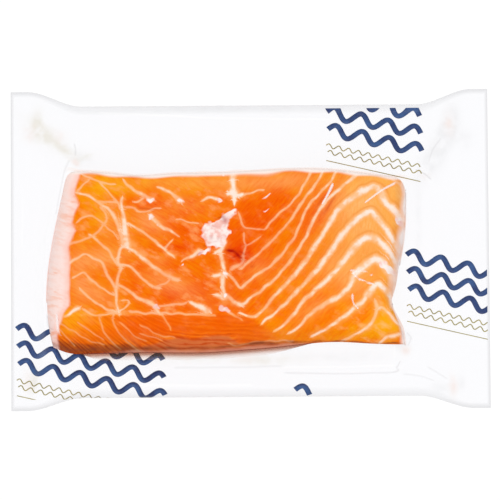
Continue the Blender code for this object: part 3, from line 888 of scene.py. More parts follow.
# Raw farmed salmon: wet and dense, deep orange between pale sheets of fat. The eye sees saturated
# colour with a fine fibre that runs along the flakes, soft veils of fat, and a blurred, low gloss.
fleshLook = {
    "red": "#ea4200",
    "orange": "#f46600",
    "amber": "#f68302",
    "yellow": "#f8a50c",
    "peach": "#fea664",
    "gold": "#fec07c",
    "halo": "#fba44a",
    # painted shade beside each sheet of fat
    "seamShade": "#d8620c",
    "cream": "#ffc694",
    "creamFront": "#ffc050",
    "fat": "#ffe7d8",
    "tissue": "#fdeee8",
    "tissueShade": "#f4b6aa",
    "membrane": "#fbe2db",
    "membraneStreak": "#f8b494",
    "membraneRim": "#fba486",
    "veil": "#ffd8c4",
    "pallor": "#fff0e9",
    # blood, and painted shade in thin lines between flakes
    "bloodAndShade": "#ac0e08",
    "frontDeep": "#ec5a00",
    "frontStripe": "#fc8418",
    # painted shade: the gaps between the front side's flakes, darker low on the left, and in part the foot's
    # brown, darker on the left
    "frontGap": "#c84400",
    "frontGapLow": "#6a2c10",
    "foot": "#d06c3c",
    "footLeft": "#983e12",
    # painted contact shadow
    "footShadow": "#8c4426",
    "footPale": "#e0b09a",
    "tones": ((0.0, "red"), (0.35, "orange"), (0.65, "amber"), (1.0, "yellow")),
    "toneStart": -0.1,
    "toneShare": 0.5,  # how much its own spots and two noises add to the tone
    "toneNoises": {"blotch": 0.65, "fibre": 0.55},
    "noises": {  # direction in degrees, size along it and across it in millimetres, and detail
        "blotch": (0, 11, 11, 3),
        "leftFibre": (-32, 5, 1.0, 2),  # fibres are finer, and drawn this wide so that they show
        "rightFibre": (50, 5, 1.0, 2),
        "crestFibre": (-48, 4, 1.0, 2),
        "hatch": (88, 4, 0.8, 1),
        "ragged": (0, 1.8, 1.8, 2),
        "fading": (0, 6, 6, 2),
        "streak": (-16, 5, 2.0, 3),
        "cloud": (-28, 8, 5, 3),
    },
    "stripePitch": 2.3,
    "stripeDrift": (4, 14, 1),  # size of the patches in which the stripes bend, across them and along
    "stripeBend": 16.0,  # how far they do, in radians of their pattern
    "stripeCover": (0.36, 0.6, 0.45, 0.85),  # from a range of the fading noise to a range of cover
    "stripe": (0.45, 0.95),  # heights of the stripes' wave over which the pale ones show
    "stripeGap": (-0.1, -0.9),  # and the dark gaps, painted shade between the flakes
    "deepCover": 0.78,  # of the front side's deeper orange
    "footPaleCover": 0.6,
    "footShadowCover": (0.3, 0.6, 1.0, 0.45),  # by the clouds
    "paleCover": (0.25, 0.75, 0.55, 1.2),  # by the fibre
    "cloudCover": (0.48, 0.74, 0.0, 0.75),
    "fatCover": (0.32, 0.58, 0.66, 1.0),  # by the fading noise
    "fatRagged": 0.9,  # how far a line of fat frays, in half widths
    "haloReach": (5.0, 1.2),  # half widths from a line's middle, from where it starts to where it is whole
    "creamReach": (2.4, 0.9),
    "coreReach": (1.6, 0.7),
    "coreCover": (0.65, 1.0, 0.1, 1.0),  # by how white the line is
    "haloCover": (0.32, 0.8),  # on the left, and on the right
    "seamShadePlace": 1.9,  # half widths from the line's middle
    "seamShadeReach": (0.6, 0.1),
    "seamShadeCover": 0.22,
    "tissueRagged": 0.6,
    "tissueCover": (0.68, 1.05, 0.0, 1.0),
    "mottleRagged": 0.35,
    "mottleCover": (0.58, 0.82, 0.0, 0.85),
    "streakCover": (0.42, 0.66, 0.1, 1.0),
    "blushCover": (0.9, 0.15),  # how much of the streaks shows in a blush more, and outside one
    "rimDepth": 0.45,  # how far the membrane's pinker rim reaches in, as a share of its width
    "rimCover": 0.75,
    "relief": 0.3 * mm,
    "fibreRelief": 0.3,  # height of the fibre against a sheet of fat
    "bump": 0.25,
    "roughness": (0.3, 0.7, 0.38, 0.55),  # by the blotches
    "gloss": 0.015,
    "refraction": 1.38,
}


def fleshFields(tree):  # the fish's own fields, by name
    fields = {}
    for name in ("fatSide", "fatAway", "fatWhiteness", "tissue", "tone", "paleness", "bloodAndShade", "membrane",
                 "membraneDepth", "blush", "veil", "pallor", "frontSide", "striped", "footBrown",
                 "footShadow", "footPale", "footShade", "rightGrain", "crestGrain", "golden", "hatched",
                 "cloudiness"):
        fields[name] = addNode(tree, "ShaderNodeAttribute", {"attribute_name": name}, output="Fac")
    return fields


def fleshNoises(tree, fields):  # soft patterns, each turned and drawn out its own way
    leaned = addNode(tree, "ShaderNodeAttribute", {"attribute_name": "leaned"}, output="Vector")
    noises = {}
    for name, (turn, along, across, detail) in fleshLook["noises"].items():
        placed = addNode(tree, "ShaderNodeMapping", {"vector_type": "TEXTURE"},
                         {"Vector": leaned, "Rotation": (0, 0, math.radians(turn)),
                          "Scale": (along, across, 1)})
        noises[name] = addNode(tree, "ShaderNodeTexNoise", {},
                               {"Vector": placed, "Scale": 1.0, "Detail": detail, "Roughness": 0.55}, "Fac")
    # the fibre turns with the flakes from one zone of the fillet to the next
    fibre = noises["leftFibre"]
    for zoneName, name in (("rightGrain", "rightFibre"), ("crestGrain", "crestFibre"), ("hatched", "hatch")):
        fibre = addNode(tree, "ShaderNodeMix", {}, {0: fields[zoneName], 2: fibre, 3: noises[name]})
    noises["fibre"] = fibre
    return noises


def fleshTone(tree, fields, noises):  # the flesh's own colour, from red at 0 to yellow at 1
    look = fleshLook
    tone = addNode(tree, "ShaderNodeMath", {"operation": "MULTIPLY_ADD"},
                   {0: fields["tone"], 1: look["toneShare"], 2: look["toneStart"]})
    for name, amount in look["toneNoises"].items():
        tone = addNode(tree, "ShaderNodeMath", {"operation": "MULTIPLY_ADD"},
                       {0: noises[name], 1: amount, 2: tone})
    ramp = addNode(tree, "ShaderNodeValToRGB", {}, {"Fac": tone}, None)
    for place, name in look["tones"][2:]:
        ramp.color_ramp.elements.new(place)
    for element, (place, name) in zip(ramp.color_ramp.elements, look["tones"]):
        element.position = place
        element.color = linearColour(look[name])
    return ramp.outputs["Color"]


def frontLayers(tree, fields, noises):  # the front side's deeper colour, its fan of stripes with dark gaps of painted shade, and its foot, in part painted shade
    look = fleshLook
    frontPlace = addNode(tree, "ShaderNodeAttribute", {"attribute_name": "frontPlace"}, output="Vector")
    placed = addNode(tree, "ShaderNodeMapping", {"vector_type": "TEXTURE"},
                     {"Vector": frontPlace, "Scale": look["stripeDrift"]})
    drift = addNode(tree, "ShaderNodeTexNoise", {}, {"Vector": placed, "Scale": 1.0, "Detail": 3.0}, "Fac")
    fan = addNode(tree, "ShaderNodeSeparateXYZ", {}, {0: frontPlace}, "X")
    fan = addNode(tree, "ShaderNodeMath", {"operation": "MULTIPLY"},
                  {0: fan, 1: 2 * math.pi / look["stripePitch"]})
    fan = addNode(tree, "ShaderNodeMath", {"operation": "MULTIPLY_ADD"},
                  {0: drift, 1: look["stripeBend"], 2: fan})
    fan = addNode(tree, "ShaderNodeMath", {"operation": "SINE"}, {0: fan})
    strong = addNode(tree, "ShaderNodeMapRange", {"interpolation_type": "SMOOTHSTEP"},
                     dict(enumerate([noises["fading"], *look["stripeCover"]])))
    strong = addNode(tree, "ShaderNodeMath", {"operation": "MULTIPLY"}, {0: strong, 1: fields["striped"]})
    bands = {}
    for name in ("stripe", "stripeGap"):
        start, whole = look[name]
        band = addNode(tree, "ShaderNodeMapRange", {"interpolation_type": "SMOOTHSTEP"},
                       {0: fan, 1: start, 2: whole, 3: 0.0, 4: 1.0})
        bands[name] = addNode(tree, "ShaderNodeMath", {"operation": "MULTIPLY"}, {0: band, 1: strong})
    lowGap = addNode(tree, "ShaderNodeMath", {"operation": "MULTIPLY"},
                     {0: fields["footBrown"], 1: fields["footShade"]})
    gapColour = addNode(tree, "ShaderNodeMix", {"data_type": "RGBA"},
                        {0: lowGap, 6: look["frontGap"], 7: look["frontGapLow"]}, 2)
    footColour = addNode(tree, "ShaderNodeMix", {"data_type": "RGBA"},
                         {0: fields["footShade"], 6: look["foot"], 7: look["footLeft"]}, 2)
    deep = addNode(tree, "ShaderNodeMath", {"operation": "MULTIPLY"},
                   {0: fields["frontSide"], 1: look["deepCover"]})
    return [
        (deep, look["frontDeep"]),
        (bands["stripe"], look["frontStripe"]),
        (fields["footBrown"], footColour),
        (bands["stripeGap"], gapColour),
    ]


def footLayers(tree, fields, noises):  # the painted contact shadow along the foot, and the pale skin below it
    look = fleshLook
    uneven = addNode(tree, "ShaderNodeMapRange", {"interpolation_type": "SMOOTHSTEP"},
                     dict(enumerate([noises["cloud"], *look["footShadowCover"]])))
    dark = addNode(tree, "ShaderNodeMath", {"operation": "MULTIPLY"}, {0: fields["footShadow"], 1: uneven})
    pale = addNode(tree, "ShaderNodeMath", {"operation": "MULTIPLY"},
                   {0: fields["footPale"], 1: look["footPaleCover"]})
    return [(pale, look["footPale"]), (dark, look["footShadow"])]


def paleLayer(tree, fields, noises):  # veils and clouds of fat in the flesh
    look = fleshLook
    patchy = addNode(tree, "ShaderNodeMapRange", {}, dict(enumerate([noises["fibre"], *look["paleCover"]])))
    pale = addNode(tree, "ShaderNodeMath", {"operation": "MULTIPLY"}, {0: fields["paleness"], 1: patchy})
    cloud = addNode(tree, "ShaderNodeMapRange", {"interpolation_type": "SMOOTHSTEP"},
                    dict(enumerate([noises["cloud"], *look["cloudCover"]])))
    cloud = addNode(tree, "ShaderNodeMath", {"operation": "MULTIPLY"}, {0: cloud, 1: fields["cloudiness"]})
    pale = addNode(tree, "ShaderNodeMath", {"operation": "MAXIMUM"}, {0: pale, 1: cloud})
    paleColour = addNode(tree, "ShaderNodeMix", {"data_type": "RGBA"},
                         {0: fields["golden"], 6: look["peach"], 7: look["gold"]}, 2)
    return pale, paleColour


def fatLayers(tree, fields, noises):  # sheets of fat, cut across, and how much of them is cream
    look = fleshLook
    distance = lineDistance(tree, fields["fatSide"], fields["fatAway"])
    distance = addNode(tree, "ShaderNodeMath", {"operation": "MULTIPLY_ADD"},
                       {0: noises["ragged"], 1: look["fatRagged"], 2: distance})
    faded = addNode(tree, "ShaderNodeMapRange", {"interpolation_type": "SMOOTHSTEP"},
                    dict(enumerate([noises["fading"], *look["fatCover"]])))
    whiteness = addNode(tree, "ShaderNodeMath", {"operation": "MULTIPLY"},
                        {0: fields["fatWhiteness"], 1: faded})
    leftHalo, rightHalo = look["haloCover"]
    spread = addNode(tree, "ShaderNodeMapRange", {},
                     {0: fields["golden"], 1: 0.0, 2: 1.0, 3: leftHalo, 4: rightHalo})
    whitest = addNode(tree, "ShaderNodeMapRange", {}, dict(enumerate([whiteness, *look["coreCover"]])))
    covers = {"halo": (spread, whiteness), "cream": (1.0, whiteness), "core": (1.0, whitest)}
    bands = {}
    for name, (most, amount) in covers.items():
        outer, inner = look[name + "Reach"]
        band = addNode(tree, "ShaderNodeMapRange", {"interpolation_type": "SMOOTHSTEP"},
                       {0: distance, 1: outer, 2: inner, 3: 0.0, 4: most})
        bands[name] = addNode(tree, "ShaderNodeMath", {"operation": "MULTIPLY"}, {0: band, 1: amount})
    creamColour = addNode(tree, "ShaderNodeMix", {"data_type": "RGBA"},
                          {0: fields["frontSide"], 6: look["cream"], 7: look["creamFront"]}, 2)
    layers = [
        (bands["halo"], look["halo"]),
        (seamShadeCover(tree, fields, whiteness), look["seamShade"]),
        (bands["cream"], creamColour),
        (bands["core"], look["fat"]),
    ]
    return layers, bands["cream"]


def seamShadeCover(tree, fields, whiteness):  # a thin line of painted shade along the upper side of each sheet of fat, where the next flake meets it
    look = fleshLook
    outer, inner = look["seamShadeReach"]
    seamShade = addNode(tree, "ShaderNodeMath", {"operation": "SUBTRACT"},
                   {0: fields["fatSide"], 1: look["seamShadePlace"]})
    seamShade = addNode(tree, "ShaderNodeMath", {"operation": "ABSOLUTE"}, {0: seamShade})
    seamShade = addNode(tree, "ShaderNodeMapRange", {"interpolation_type": "SMOOTHSTEP"},
                   {0: seamShade, 1: outer, 2: inner, 3: 0.0, 4: look["seamShadeCover"]})
    seamShade = addNode(tree, "ShaderNodeMath", {"operation": "MULTIPLY"}, {0: seamShade, 1: whiteness})
    return addNode(tree, "ShaderNodeMath", {"operation": "MULTIPLY"}, {0: seamShade, 1: fields["rightGrain"]})


def tissueLayer(tree, fields, noises):  # connective tissue, with a ragged edge and pink shading
    look = fleshLook
    cover = addNode(tree, "ShaderNodeMath", {"operation": "MULTIPLY_ADD"},
                    {0: noises["ragged"], 1: look["tissueRagged"], 2: fields["tissue"]})
    cover = addNode(tree, "ShaderNodeMapRange", {"interpolation_type": "SMOOTHSTEP"},
                    dict(enumerate([cover, *look["tissueCover"]])))
    mottle = addNode(tree, "ShaderNodeMath", {"operation": "MULTIPLY_ADD"},
                     {0: noises["ragged"], 1: look["mottleRagged"], 2: noises["fading"]})
    mottle = addNode(tree, "ShaderNodeMapRange", {"interpolation_type": "SMOOTHSTEP"},
                     dict(enumerate([mottle, *look["mottleCover"]])))
    flecked = addNode(tree, "ShaderNodeMix", {"data_type": "RGBA"},
                      {0: mottle, 6: look["tissue"], 7: look["tissueShade"]}, 2)
    return cover, flecked


def membraneColour(tree, fields, noises):  # pale and streaked, and pinker towards the flesh
    look = fleshLook
    streak = addNode(tree, "ShaderNodeMapRange", {"interpolation_type": "SMOOTHSTEP"},
                     dict(enumerate([noises["streak"], *look["streakCover"]])))
    more, bare = look["blushCover"]
    blushed = addNode(tree, "ShaderNodeMath", {"operation": "MULTIPLY_ADD"},
                      {0: fields["blush"], 1: more, 2: bare})
    streak = addNode(tree, "ShaderNodeMath", {"operation": "MULTIPLY"}, {0: streak, 1: blushed})
    rind = addNode(tree, "ShaderNodeMix", {"data_type": "RGBA"},
                   {0: streak, 6: look["membrane"], 7: look["membraneStreak"]}, 2)
    pinkRim = addNode(tree, "ShaderNodeMapRange", {"interpolation_type": "SMOOTHSTEP"},
                      {0: fields["membraneDepth"], 1: look["rimDepth"], 2: 0.0, 3: 0.0,
                       4: look["rimCover"]})
    pinkRim = addNode(tree, "ShaderNodeMath", {"operation": "MULTIPLY"}, {0: pinkRim, 1: noises["fading"]})
    return addNode(tree, "ShaderNodeMix", {"data_type": "RGBA"},
                   {0: pinkRim, 6: rind, 7: look["membraneRim"]}, 2)


def salmonFlesh():
    look = fleshLook
    material, tree = newMaterial("wetSalmonFlesh")
    fields = fleshFields(tree)
    noises = fleshNoises(tree, fields)
    colour = fleshTone(tree, fields, noises)
    fat, cream = fatLayers(tree, fields, noises)
    layers = [
        *frontLayers(tree, fields, noises),
        paleLayer(tree, fields, noises),
        *fat,
        tissueLayer(tree, fields, noises),
        (fields["bloodAndShade"], look["bloodAndShade"]),
        (fields["membrane"], membraneColour(tree, fields, noises)),
        (fields["veil"], look["veil"]),
        (fields["pallor"], look["pallor"]),
        *footLayers(tree, fields, noises),
    ]
    for factor, shade in layers:
        colour = addNode(tree, "ShaderNodeMix", {"data_type": "RGBA"}, {0: factor, 6: colour, 7: shade}, 2)
    height = addNode(tree, "ShaderNodeMath", {"operation": "MULTIPLY_ADD"},
                     {0: noises["fibre"], 1: look["fibreRelief"], 2: cream})
    bump = addNode(tree, "ShaderNodeBump", {},
                   {"Strength": look["bump"], "Distance": look["relief"], "Height": height})
    rough = addNode(tree, "ShaderNodeMapRange", {}, dict(enumerate([noises["blotch"], *look["roughness"]])))
    shader = addNode(tree, "ShaderNodeBsdfPrincipled", {}, {"Base Color": colour, "Roughness": rough,
                     "Normal": bump, "Specular IOR Level": look["gloss"], "IOR": look["refraction"]})
    addNode(tree, "ShaderNodeOutputMaterial", {}, {"Surface": shader}, None)
    return material


film = {
    "columns": (50, 180, 70),  # faces before the fish, over it and beyond it, from left to right
    "rows": (44, 90, 80),  # and from front to back
    "crowding": 0.09,  # how much closer together they stand over the fish's sides
    "underRings": 5,  # steps in which the edge rolls under
    "underBorders": (0.6, 1.0, 1.6, 2.5, 4),  # steps in from the underside's outline
    "edgeTolerance": 0.01,
    "wave": 0.2,  # depth of the slack film's long waves
    "longWaves": (24, 11),  # length and seed
    "shortWaves": (9, 12),
    "slack": (0.05, 0.35),  # share of the way out from the fish where the film starts to be slack
    "crease": 0.3,  # height of a crease's small ridge
    "creaseSpread": 1.6,  # how far it spreads, in half widths
    "upper": (0.2, 1),  # height over which the upper sheet's looks start
    "overFish": (0.3, 0.75),  # how far up the fish's shoulders the film lies close
    "calm": (0.3, 0.1),  # shares of the way out from the fish where its haze is whole, and where it starts
    "sealRim": 1.6,  # how much thinner the grey rim of painted shade is at the sealed ends
    "rosyDepth": (-3.5, -0.5, 0.2, 1.6),  # from the fish's back out: where its juice starts and ends
    "rosyLength": (-86, -76, 66, 75),  # and from left to right
    "rosyGap": (-52, 0.6, 12),  # a paler place: where, by how much, and how far it reaches
    "rosyStray": (0.5, 15, 13),  # how far its borders stray, length of their bumps, and seed
}

# Creases of the slack film, each a small ridge with painted grey shade along it: points, half width at the
# start and the end, and strength
shadedCreases = (
    (((-79.5, 48), (-79, 45.5), (-79, 42)), (0.25, 0.25), 0.4),
    (((15.5, -64), (40.5, -64.5), (64.5, -64), (66, -62), (67.5, -59.5)), (0.25, 0.25), 0.4),
    (((69.5, -65), (73.5, -65.5), (77, -66), (82.5, -67.5)), (0.3, 0.25), 0.25),
    (((-34, -61.5), (-9, -61.5), (13.5, -61)), (0.35, 0.3), 0.25),
    (((76, 33), (79, 31.5), (82, 29)), (0.35, 0.3), 0.5),
    (((-82, 38), (-84, 32), (-86, 22.5), (-88, 12)), (0.35, 0.2), 0.28),
    (((71, -48), (72.5, -50), (71.5, -52.5)), (0.3, 0.25), 0.35),
    (((80.5, -62), (84.5, -64), (88.5, -66)), (0.3, 0.25), 0.28),
    (((87, 50.5), (83.5, 44.5), (81.5, 38)), (0.3, 0.25), 0.3),
    (((-92, -37.5), (-91.5, -42.5), (-89.5, -44.5)), (0.3, 0.25), 0.5),
    (((-85.5, -52), (-83.5, -55), (-83, -57)), (0.3, 0.25), 0.5),
)
brightCreases = (  # creases and seams with a painted highlight where they catch the light
    (((-67.5, 64), (-35.5, 62.5), (-13, 61), (39, 60)), (0.35, 0.35), 0.8),
    (((-54.5, -69), (-27.5, -69.5), (0, -69.5)), (0.4, 0.4), 0.8),
    (((15.5, -61.5), (40.5, -61.5), (64.5, -61)), (0.35, 0.3), 0.7),
    (((65, -53), (65, -58)), (0.25, 0.25), 0.6),
    (((-103, 27.5), (-103.5, 1.5)), (0.25, 0.25), 0.5),
    (((-84.5, -32.5), (-86.5, -37.5), (-87.5, -41.5), (-87, -46), (-85, -52), (-83.5, -57)),
     (0.6, 0.4), 0.9),
)
glints = (  # tight little folds over the fish, each with a painted highlight, with y as for a line of fat
    (((37.5, 20.5), (35.5, 16), (33, 11.5)), (0.4, 0.25), 0.95),
    (((65.5, 21), (59.5, 17.5), (52.5, 12)), (0.35, 0.25), 0.8),
    (((45.8, -21.2), (48.7, -25), (55.6, -28.1)), (0.25, 0.25), 0.75),
    (((45.8, -21.2), (51, -21.4), (55, -23.5)), (0.2, 0.2), 0.5),
    (((46.3, -33), (46.5, -36.8), (48.7, -39.9)), (0.25, 0.2), 0.6),
    (((-87.6, -42), (-87.2, -48.5), (-86.4, -53), (-85, -58)), (0.3, 0.6), 0.75),
)
# Where the film looks tinted: beige where it lies doubled, pink where juice has crept in, and grey as
# painted shade of its folds, beside the fish and along the back edge; two beige patches are a painted
# shadow in front of the fish's foot. Each: centre, radii, turn and amount
filmTints = {
    "beige": (
        ((-96.5, 61), (2.4, 6), 0, 0.9),
        ((-91, 52.5), (12, 3.4), -46, 1.1),
        ((-82, 42.5), (5, 2), -40, 0.5),
        ((-98.5, -64.5), (2.2, 5.4), -8, 0.8),
        # painted shadow on the film in front of the fish's foot
        ((-16, -57.5), (36, 2.2), 0, 0.35),
        ((6.5, -59), (10, 2), 0, 0.45),
        ((-74.5, 40.5), (4, 1.6), 15, 0.6),
    ),
    "pink": (
        ((-100, 57), (3, 3.6), 0, 0.7),
        ((-86, 52), (2.6, 4), 30, 0.5),
        ((-79, 37.5), (1.4, 2.2), 35, 1.4),
        ((90.8, 59), (2.2, 5), 0, 0.9),
        ((91.5, -69), (1.8, 4), 0, 0.8),
        ((70, -54.5), (2, 2), 0, 1.0),
        ((-101.5, -63), (1.8, 5), 0, 0.4),
        ((-2.5, -57.5), (5.5, 2), 0, 0.4),
        ((79.5, 30), (2.7, 2), 0, 0.5),
    ),
    # painted shade
    "grey": (
        ((91, 59), (3, 9), -10, 1.3),
        ((85, 44), (3.8, 15), -22, 1.5),
        ((97.5, 53.5), (4, 5), 0, 0.7),
        ((76.5, 10), (1.6, 20), 0, 0.4),
        ((-76, 40), (4.5, 3), -20, 0.8),
        ((68, -51), (4, 3.2), 0, 1.0),
        ((86, -71), (4, 3.4), 30, 0.8),
        ((95, -66.5), (1.8, 3.5), 0, 0.7),
        ((40.5, -57), (22, 2.5), 0, 0.45),
        ((84, -74.5), (2.8, 1.5), 0, 0.9),
        ((-15, 66.5), (43, 2), 0, 0.7),
    ),
}


def slackWaves(x, y):
    slack = smoothStep(*film["slack"], awayFromFish(x, y)) * insideSeals(x)
    waves = ripple(x, y, *film["longWaves"]) + 0.5 * ripple(x, y, *film["shortWaves"])
    waves = film["wave"] * waves * slack
    _, away, strength = lineFields(x, y, shadedCreases + brightCreases)
    return waves + film["crease"] * strength * np.exp(-(away / film["creaseSpread"]) ** 2) * slack


def stations(counts, crowding):  # grid lines: 0 to 1 before the fish, to 2 over it, to 3 beyond
    before, over, beyond = (np.linspace(0, 1, count + 1) for count in counts)
    over = over - crowding * np.sin(2 * math.pi * over)
    before = 0.5 - 0.5 * np.cos(math.pi * before)
    beyond = 0.5 - 0.5 * np.cos(math.pi * beyond)
    return np.concatenate([before, 1 + over[1:], 2 + beyond[1:]])


def between(station, first, second, third, last):  # the place of a station, from those of 0, 1, 2 and 3
    place = first + (second - first) * np.clip(station, 0, 1)
    place = place + (third - second) * np.clip(station - 1, 0, 1)
    return place + (last - third) * np.clip(station - 2, 0, 1)


def buildFilm():
    columns, rows = sum(film["columns"]), sum(film["rows"])
    bm, column, row = gridSheet(columns, rows)
    across = stations(film["rows"], film["crowding"])[row]
    along = stations(film["columns"], film["crowding"])[column]
    end = pouch["length"] / 2
    y = between(across, -pouch["frontEdge"], fish["frontLeft"][1], fish["backLeft"][1], pouch["backEdge"])
    x = between(along, -end, fishLeft(y), fishRight(y), end)
    y = between(across, frontEdge(x), fishFront(x), fishBack(x), backEdge(x))
    for vertex, place in zip(bm.verts, np.stack([x, y, pouchTop(x, y)], axis=1)):
        vertex.co = place * mm
    closeUnder(bm, 0, film["underRings"], underInset, film["underBorders"])
    return pieceFrom(bm, "pouchFilm")


def underInset(place):  # how far the underside is set in below a long edge's roll
    near = film["edgeTolerance"]
    if frontEdge(place.x) + near < place.y < backEdge(place.x) - near:
        return 0
    return pouch["undercut"] * pouch["rimShare"] * (edgeHeight(place.x) - pouch["sealThickness"])


sealPress = {
    "Half Length": pouch["length"] / 2 * mm,
    "Seal Depth": pouch["sealDepth"] * mm,
    "Rib Pitch": 1.6 * mm,  # as wide as a ribbed sealing jaw leaves them
    "Rib Depth": 0.09 * mm,
    "Full Press": 1.6,  # how much harder the jaws press at the very end
    "Under Side": 0.4 * mm,  # heights between which only the top is pressed
    "Top Side": 0.8 * mm,
    "Material": None,
}


def sealPressTree(sizes):  # presses fine ribs into the film's top where its sealed ends are
    tree, given = newShapeTree("pressedSeals", sizes)
    place = addNode(tree, "GeometryNodeInputPosition")
    axes = addNode(tree, "ShaderNodeSeparateXYZ", {}, {0: place}, None).outputs
    fromMiddle = addNode(tree, "ShaderNodeMath", {"operation": "ABSOLUTE"}, {0: axes["X"]})
    inner = addNode(tree, "ShaderNodeMath", {"operation": "SUBTRACT"},
                    {0: given["Half Length"], 1: given["Seal Depth"]})
    inSeal = addNode(tree, "ShaderNodeMapRange", {"interpolation_type": "SMOOTHSTEP"},
                     {0: fromMiddle, 1: inner, 2: given["Half Length"], 3: 0.0, 4: given["Full Press"]})
    onTop = addNode(tree, "ShaderNodeMapRange", {},
                    {0: axes["Z"], 1: given["Under Side"], 2: given["Top Side"], 3: 0.0, 4: 1.0})
    turns = addNode(tree, "ShaderNodeMath", {"operation": "DIVIDE"}, {0: fromMiddle, 1: given["Rib Pitch"]})
    wave = addNode(tree, "ShaderNodeMath", {"operation": "MULTIPLY"}, {0: turns, 1: 2 * math.pi})
    wave = addNode(tree, "ShaderNodeMath", {"operation": "SINE"}, {0: wave})
    wave = addNode(tree, "ShaderNodeMath", {"operation": "MULTIPLY_ADD"}, {0: wave, 1: -0.5, 2: -0.5})
    press = addNode(tree, "ShaderNodeMath", {"operation": "MULTIPLY"}, {0: wave, 1: given["Rib Depth"]})
    press = addNode(tree, "ShaderNodeMath", {"operation": "MULTIPLY"}, {0: press, 1: inSeal})
    press = addNode(tree, "ShaderNodeMath", {"operation": "MULTIPLY"}, {0: press, 1: onTop})
    offset = addNode(tree, "ShaderNodeCombineXYZ", {}, {"Z": press})
    pressed = addNode(tree, "GeometryNodeSetPosition", {}, {"Geometry": given["Geometry"], "Offset": offset})
    endShapeTree(tree, pressed, given["Material"])
    return tree


def dressFilm(piece):  # gives it the fields that its material reads
    mesh = piece.data
    x, y, z = placesOf(mesh).T
    upper = smoothStep(*film["upper"], z)
    overFish = smoothStep(*film["overFish"], fishSides(x, y))
    leaned = y + flesh["lean"] * (z - fish["height"])
    greySide, greyAway, greyStrength = lineFields(x, y, shadedCreases)
    outer = lineFields(x, y, brightCreases)
    glinting = lineFields(x, leaned, glints)
    bright = [np.where(overFish > 0.5, onFish, off) for onFish, off in zip(glinting, outer)]
    toSeal = film["sealRim"] * (pouch["length"] / 2 - np.abs(x))
    outline = np.minimum(np.minimum(backEdge(x) - y, y - frontEdge(x)), toSeal)
    fields = {
        "greySide": greySide,
        "greyAway": greyAway,
        "greyStrength": greyStrength * upper * (1 - overFish),
        "brightSide": bright[0],
        "brightAway": bright[1],
        "brightStrength": bright[2] * upper,
        "rimDistance": np.maximum(outline, 0),
        "overFish": overFish * upper,
        "calm": np.maximum(overFish, smoothStep(*film["calm"], awayFromFish(x, y))) * upper,
        "rosy": backJuice(x, y) * upper,
    }
    for name, spots in filmTints.items():
        fields[name] = np.clip(spotSum(x, y, spots), 0, 1) * upper * (1 - overFish)
    for name, values in fields.items():
        setField(mesh, name, values)


def backJuice(x, y):  # juice held between the film and the fish's back
    amount, length, seed = film["rosyStray"]
    beyond = y - fishBack(x) + amount * ripple(x, np.zeros_like(x), length, seed)
    inner, innerFull, outerFull, outer = film["rosyDepth"]
    left, leftFull, rightFull, right = film["rosyLength"]
    shown = smoothStep(inner, innerFull, beyond) * smoothStep(outer, outerFull, beyond)
    shown = shown * smoothStep(left, leftFull, x) * smoothStep(right, rightFull, x)
    return shown * (1 - swell(x, film["rosyGap"]))


# Clear polyamide and polyethylene film, drawn tight by the pump: glossy, almost colourless, with a
# breath of haze. The eye finds it by its grey outline, its creases and the juice caught in its folds.
# The grey of its outline, creases and folds is painted shade, and its bright creases and glints are
# painted highlights.
filmLook = {
    "clear": "#fcfcfd",
    # painted shade: the grey rim along the outline, where the film turns away over its rolled edge, and in
    # part the film lying doubled there
    "rim": "#efeff0",
    # grey is painted shade, and beige in part a painted shadow
    "grey": "#f3f3f4",
    "beige": "#efece4",
    "pink": "#f8eeea",
    "rosy": "#fdf3ee",
    "creaseShade": "#dfdedf",
    "untinted": "#ffffff",  # over the fish, and as a painted highlight where a crease catches the light
    "haze": "#ffffff",
    "creaseReach": (2.4, 0.4),  # half widths from its middle, from where it starts to where it is whole
    "rimCover": (2.6, 0.4, 0.0, 0.8),  # from a range of the distance from the outline to one of cover
    "tintCover": (0.35, 0.6, 0.35, 1.15),  # by the patches
    "patchSize": 6 * mm,
    "headOn": 0.008,  # cover of the haze and the gloss head on, and how much more at a glance
    "glancing": 0.45,
    "glancePower": 4.0,  # and how late that sets in
    "calmed": 0.1,  # share of both that is left where the film lies close to the fish
    "glint": 0.8,  # cover of a glint over the fish
    "relief": 0.3 * mm,
    "bump": 0.3,
    "roughness": 0.12,
    "refraction": 1.5,
}


def creaseBands(tree, fields):  # where the grey creases of painted shade show, and the bright ones of painted highlight
    outer, inner = filmLook["creaseReach"]
    bands = {}
    for name in ("grey", "bright"):
        distance = lineDistance(tree, fields[name + "Side"], fields[name + "Away"])
        band = addNode(tree, "ShaderNodeMapRange", {"interpolation_type": "SMOOTHSTEP"},
                       {0: distance, 1: outer, 2: inner, 3: 0.0, 4: 1.0})
        bands[name] = addNode(tree, "ShaderNodeMath", {"operation": "MULTIPLY"},
                              {0: band, 1: fields[name + "Strength"]})
    return bands


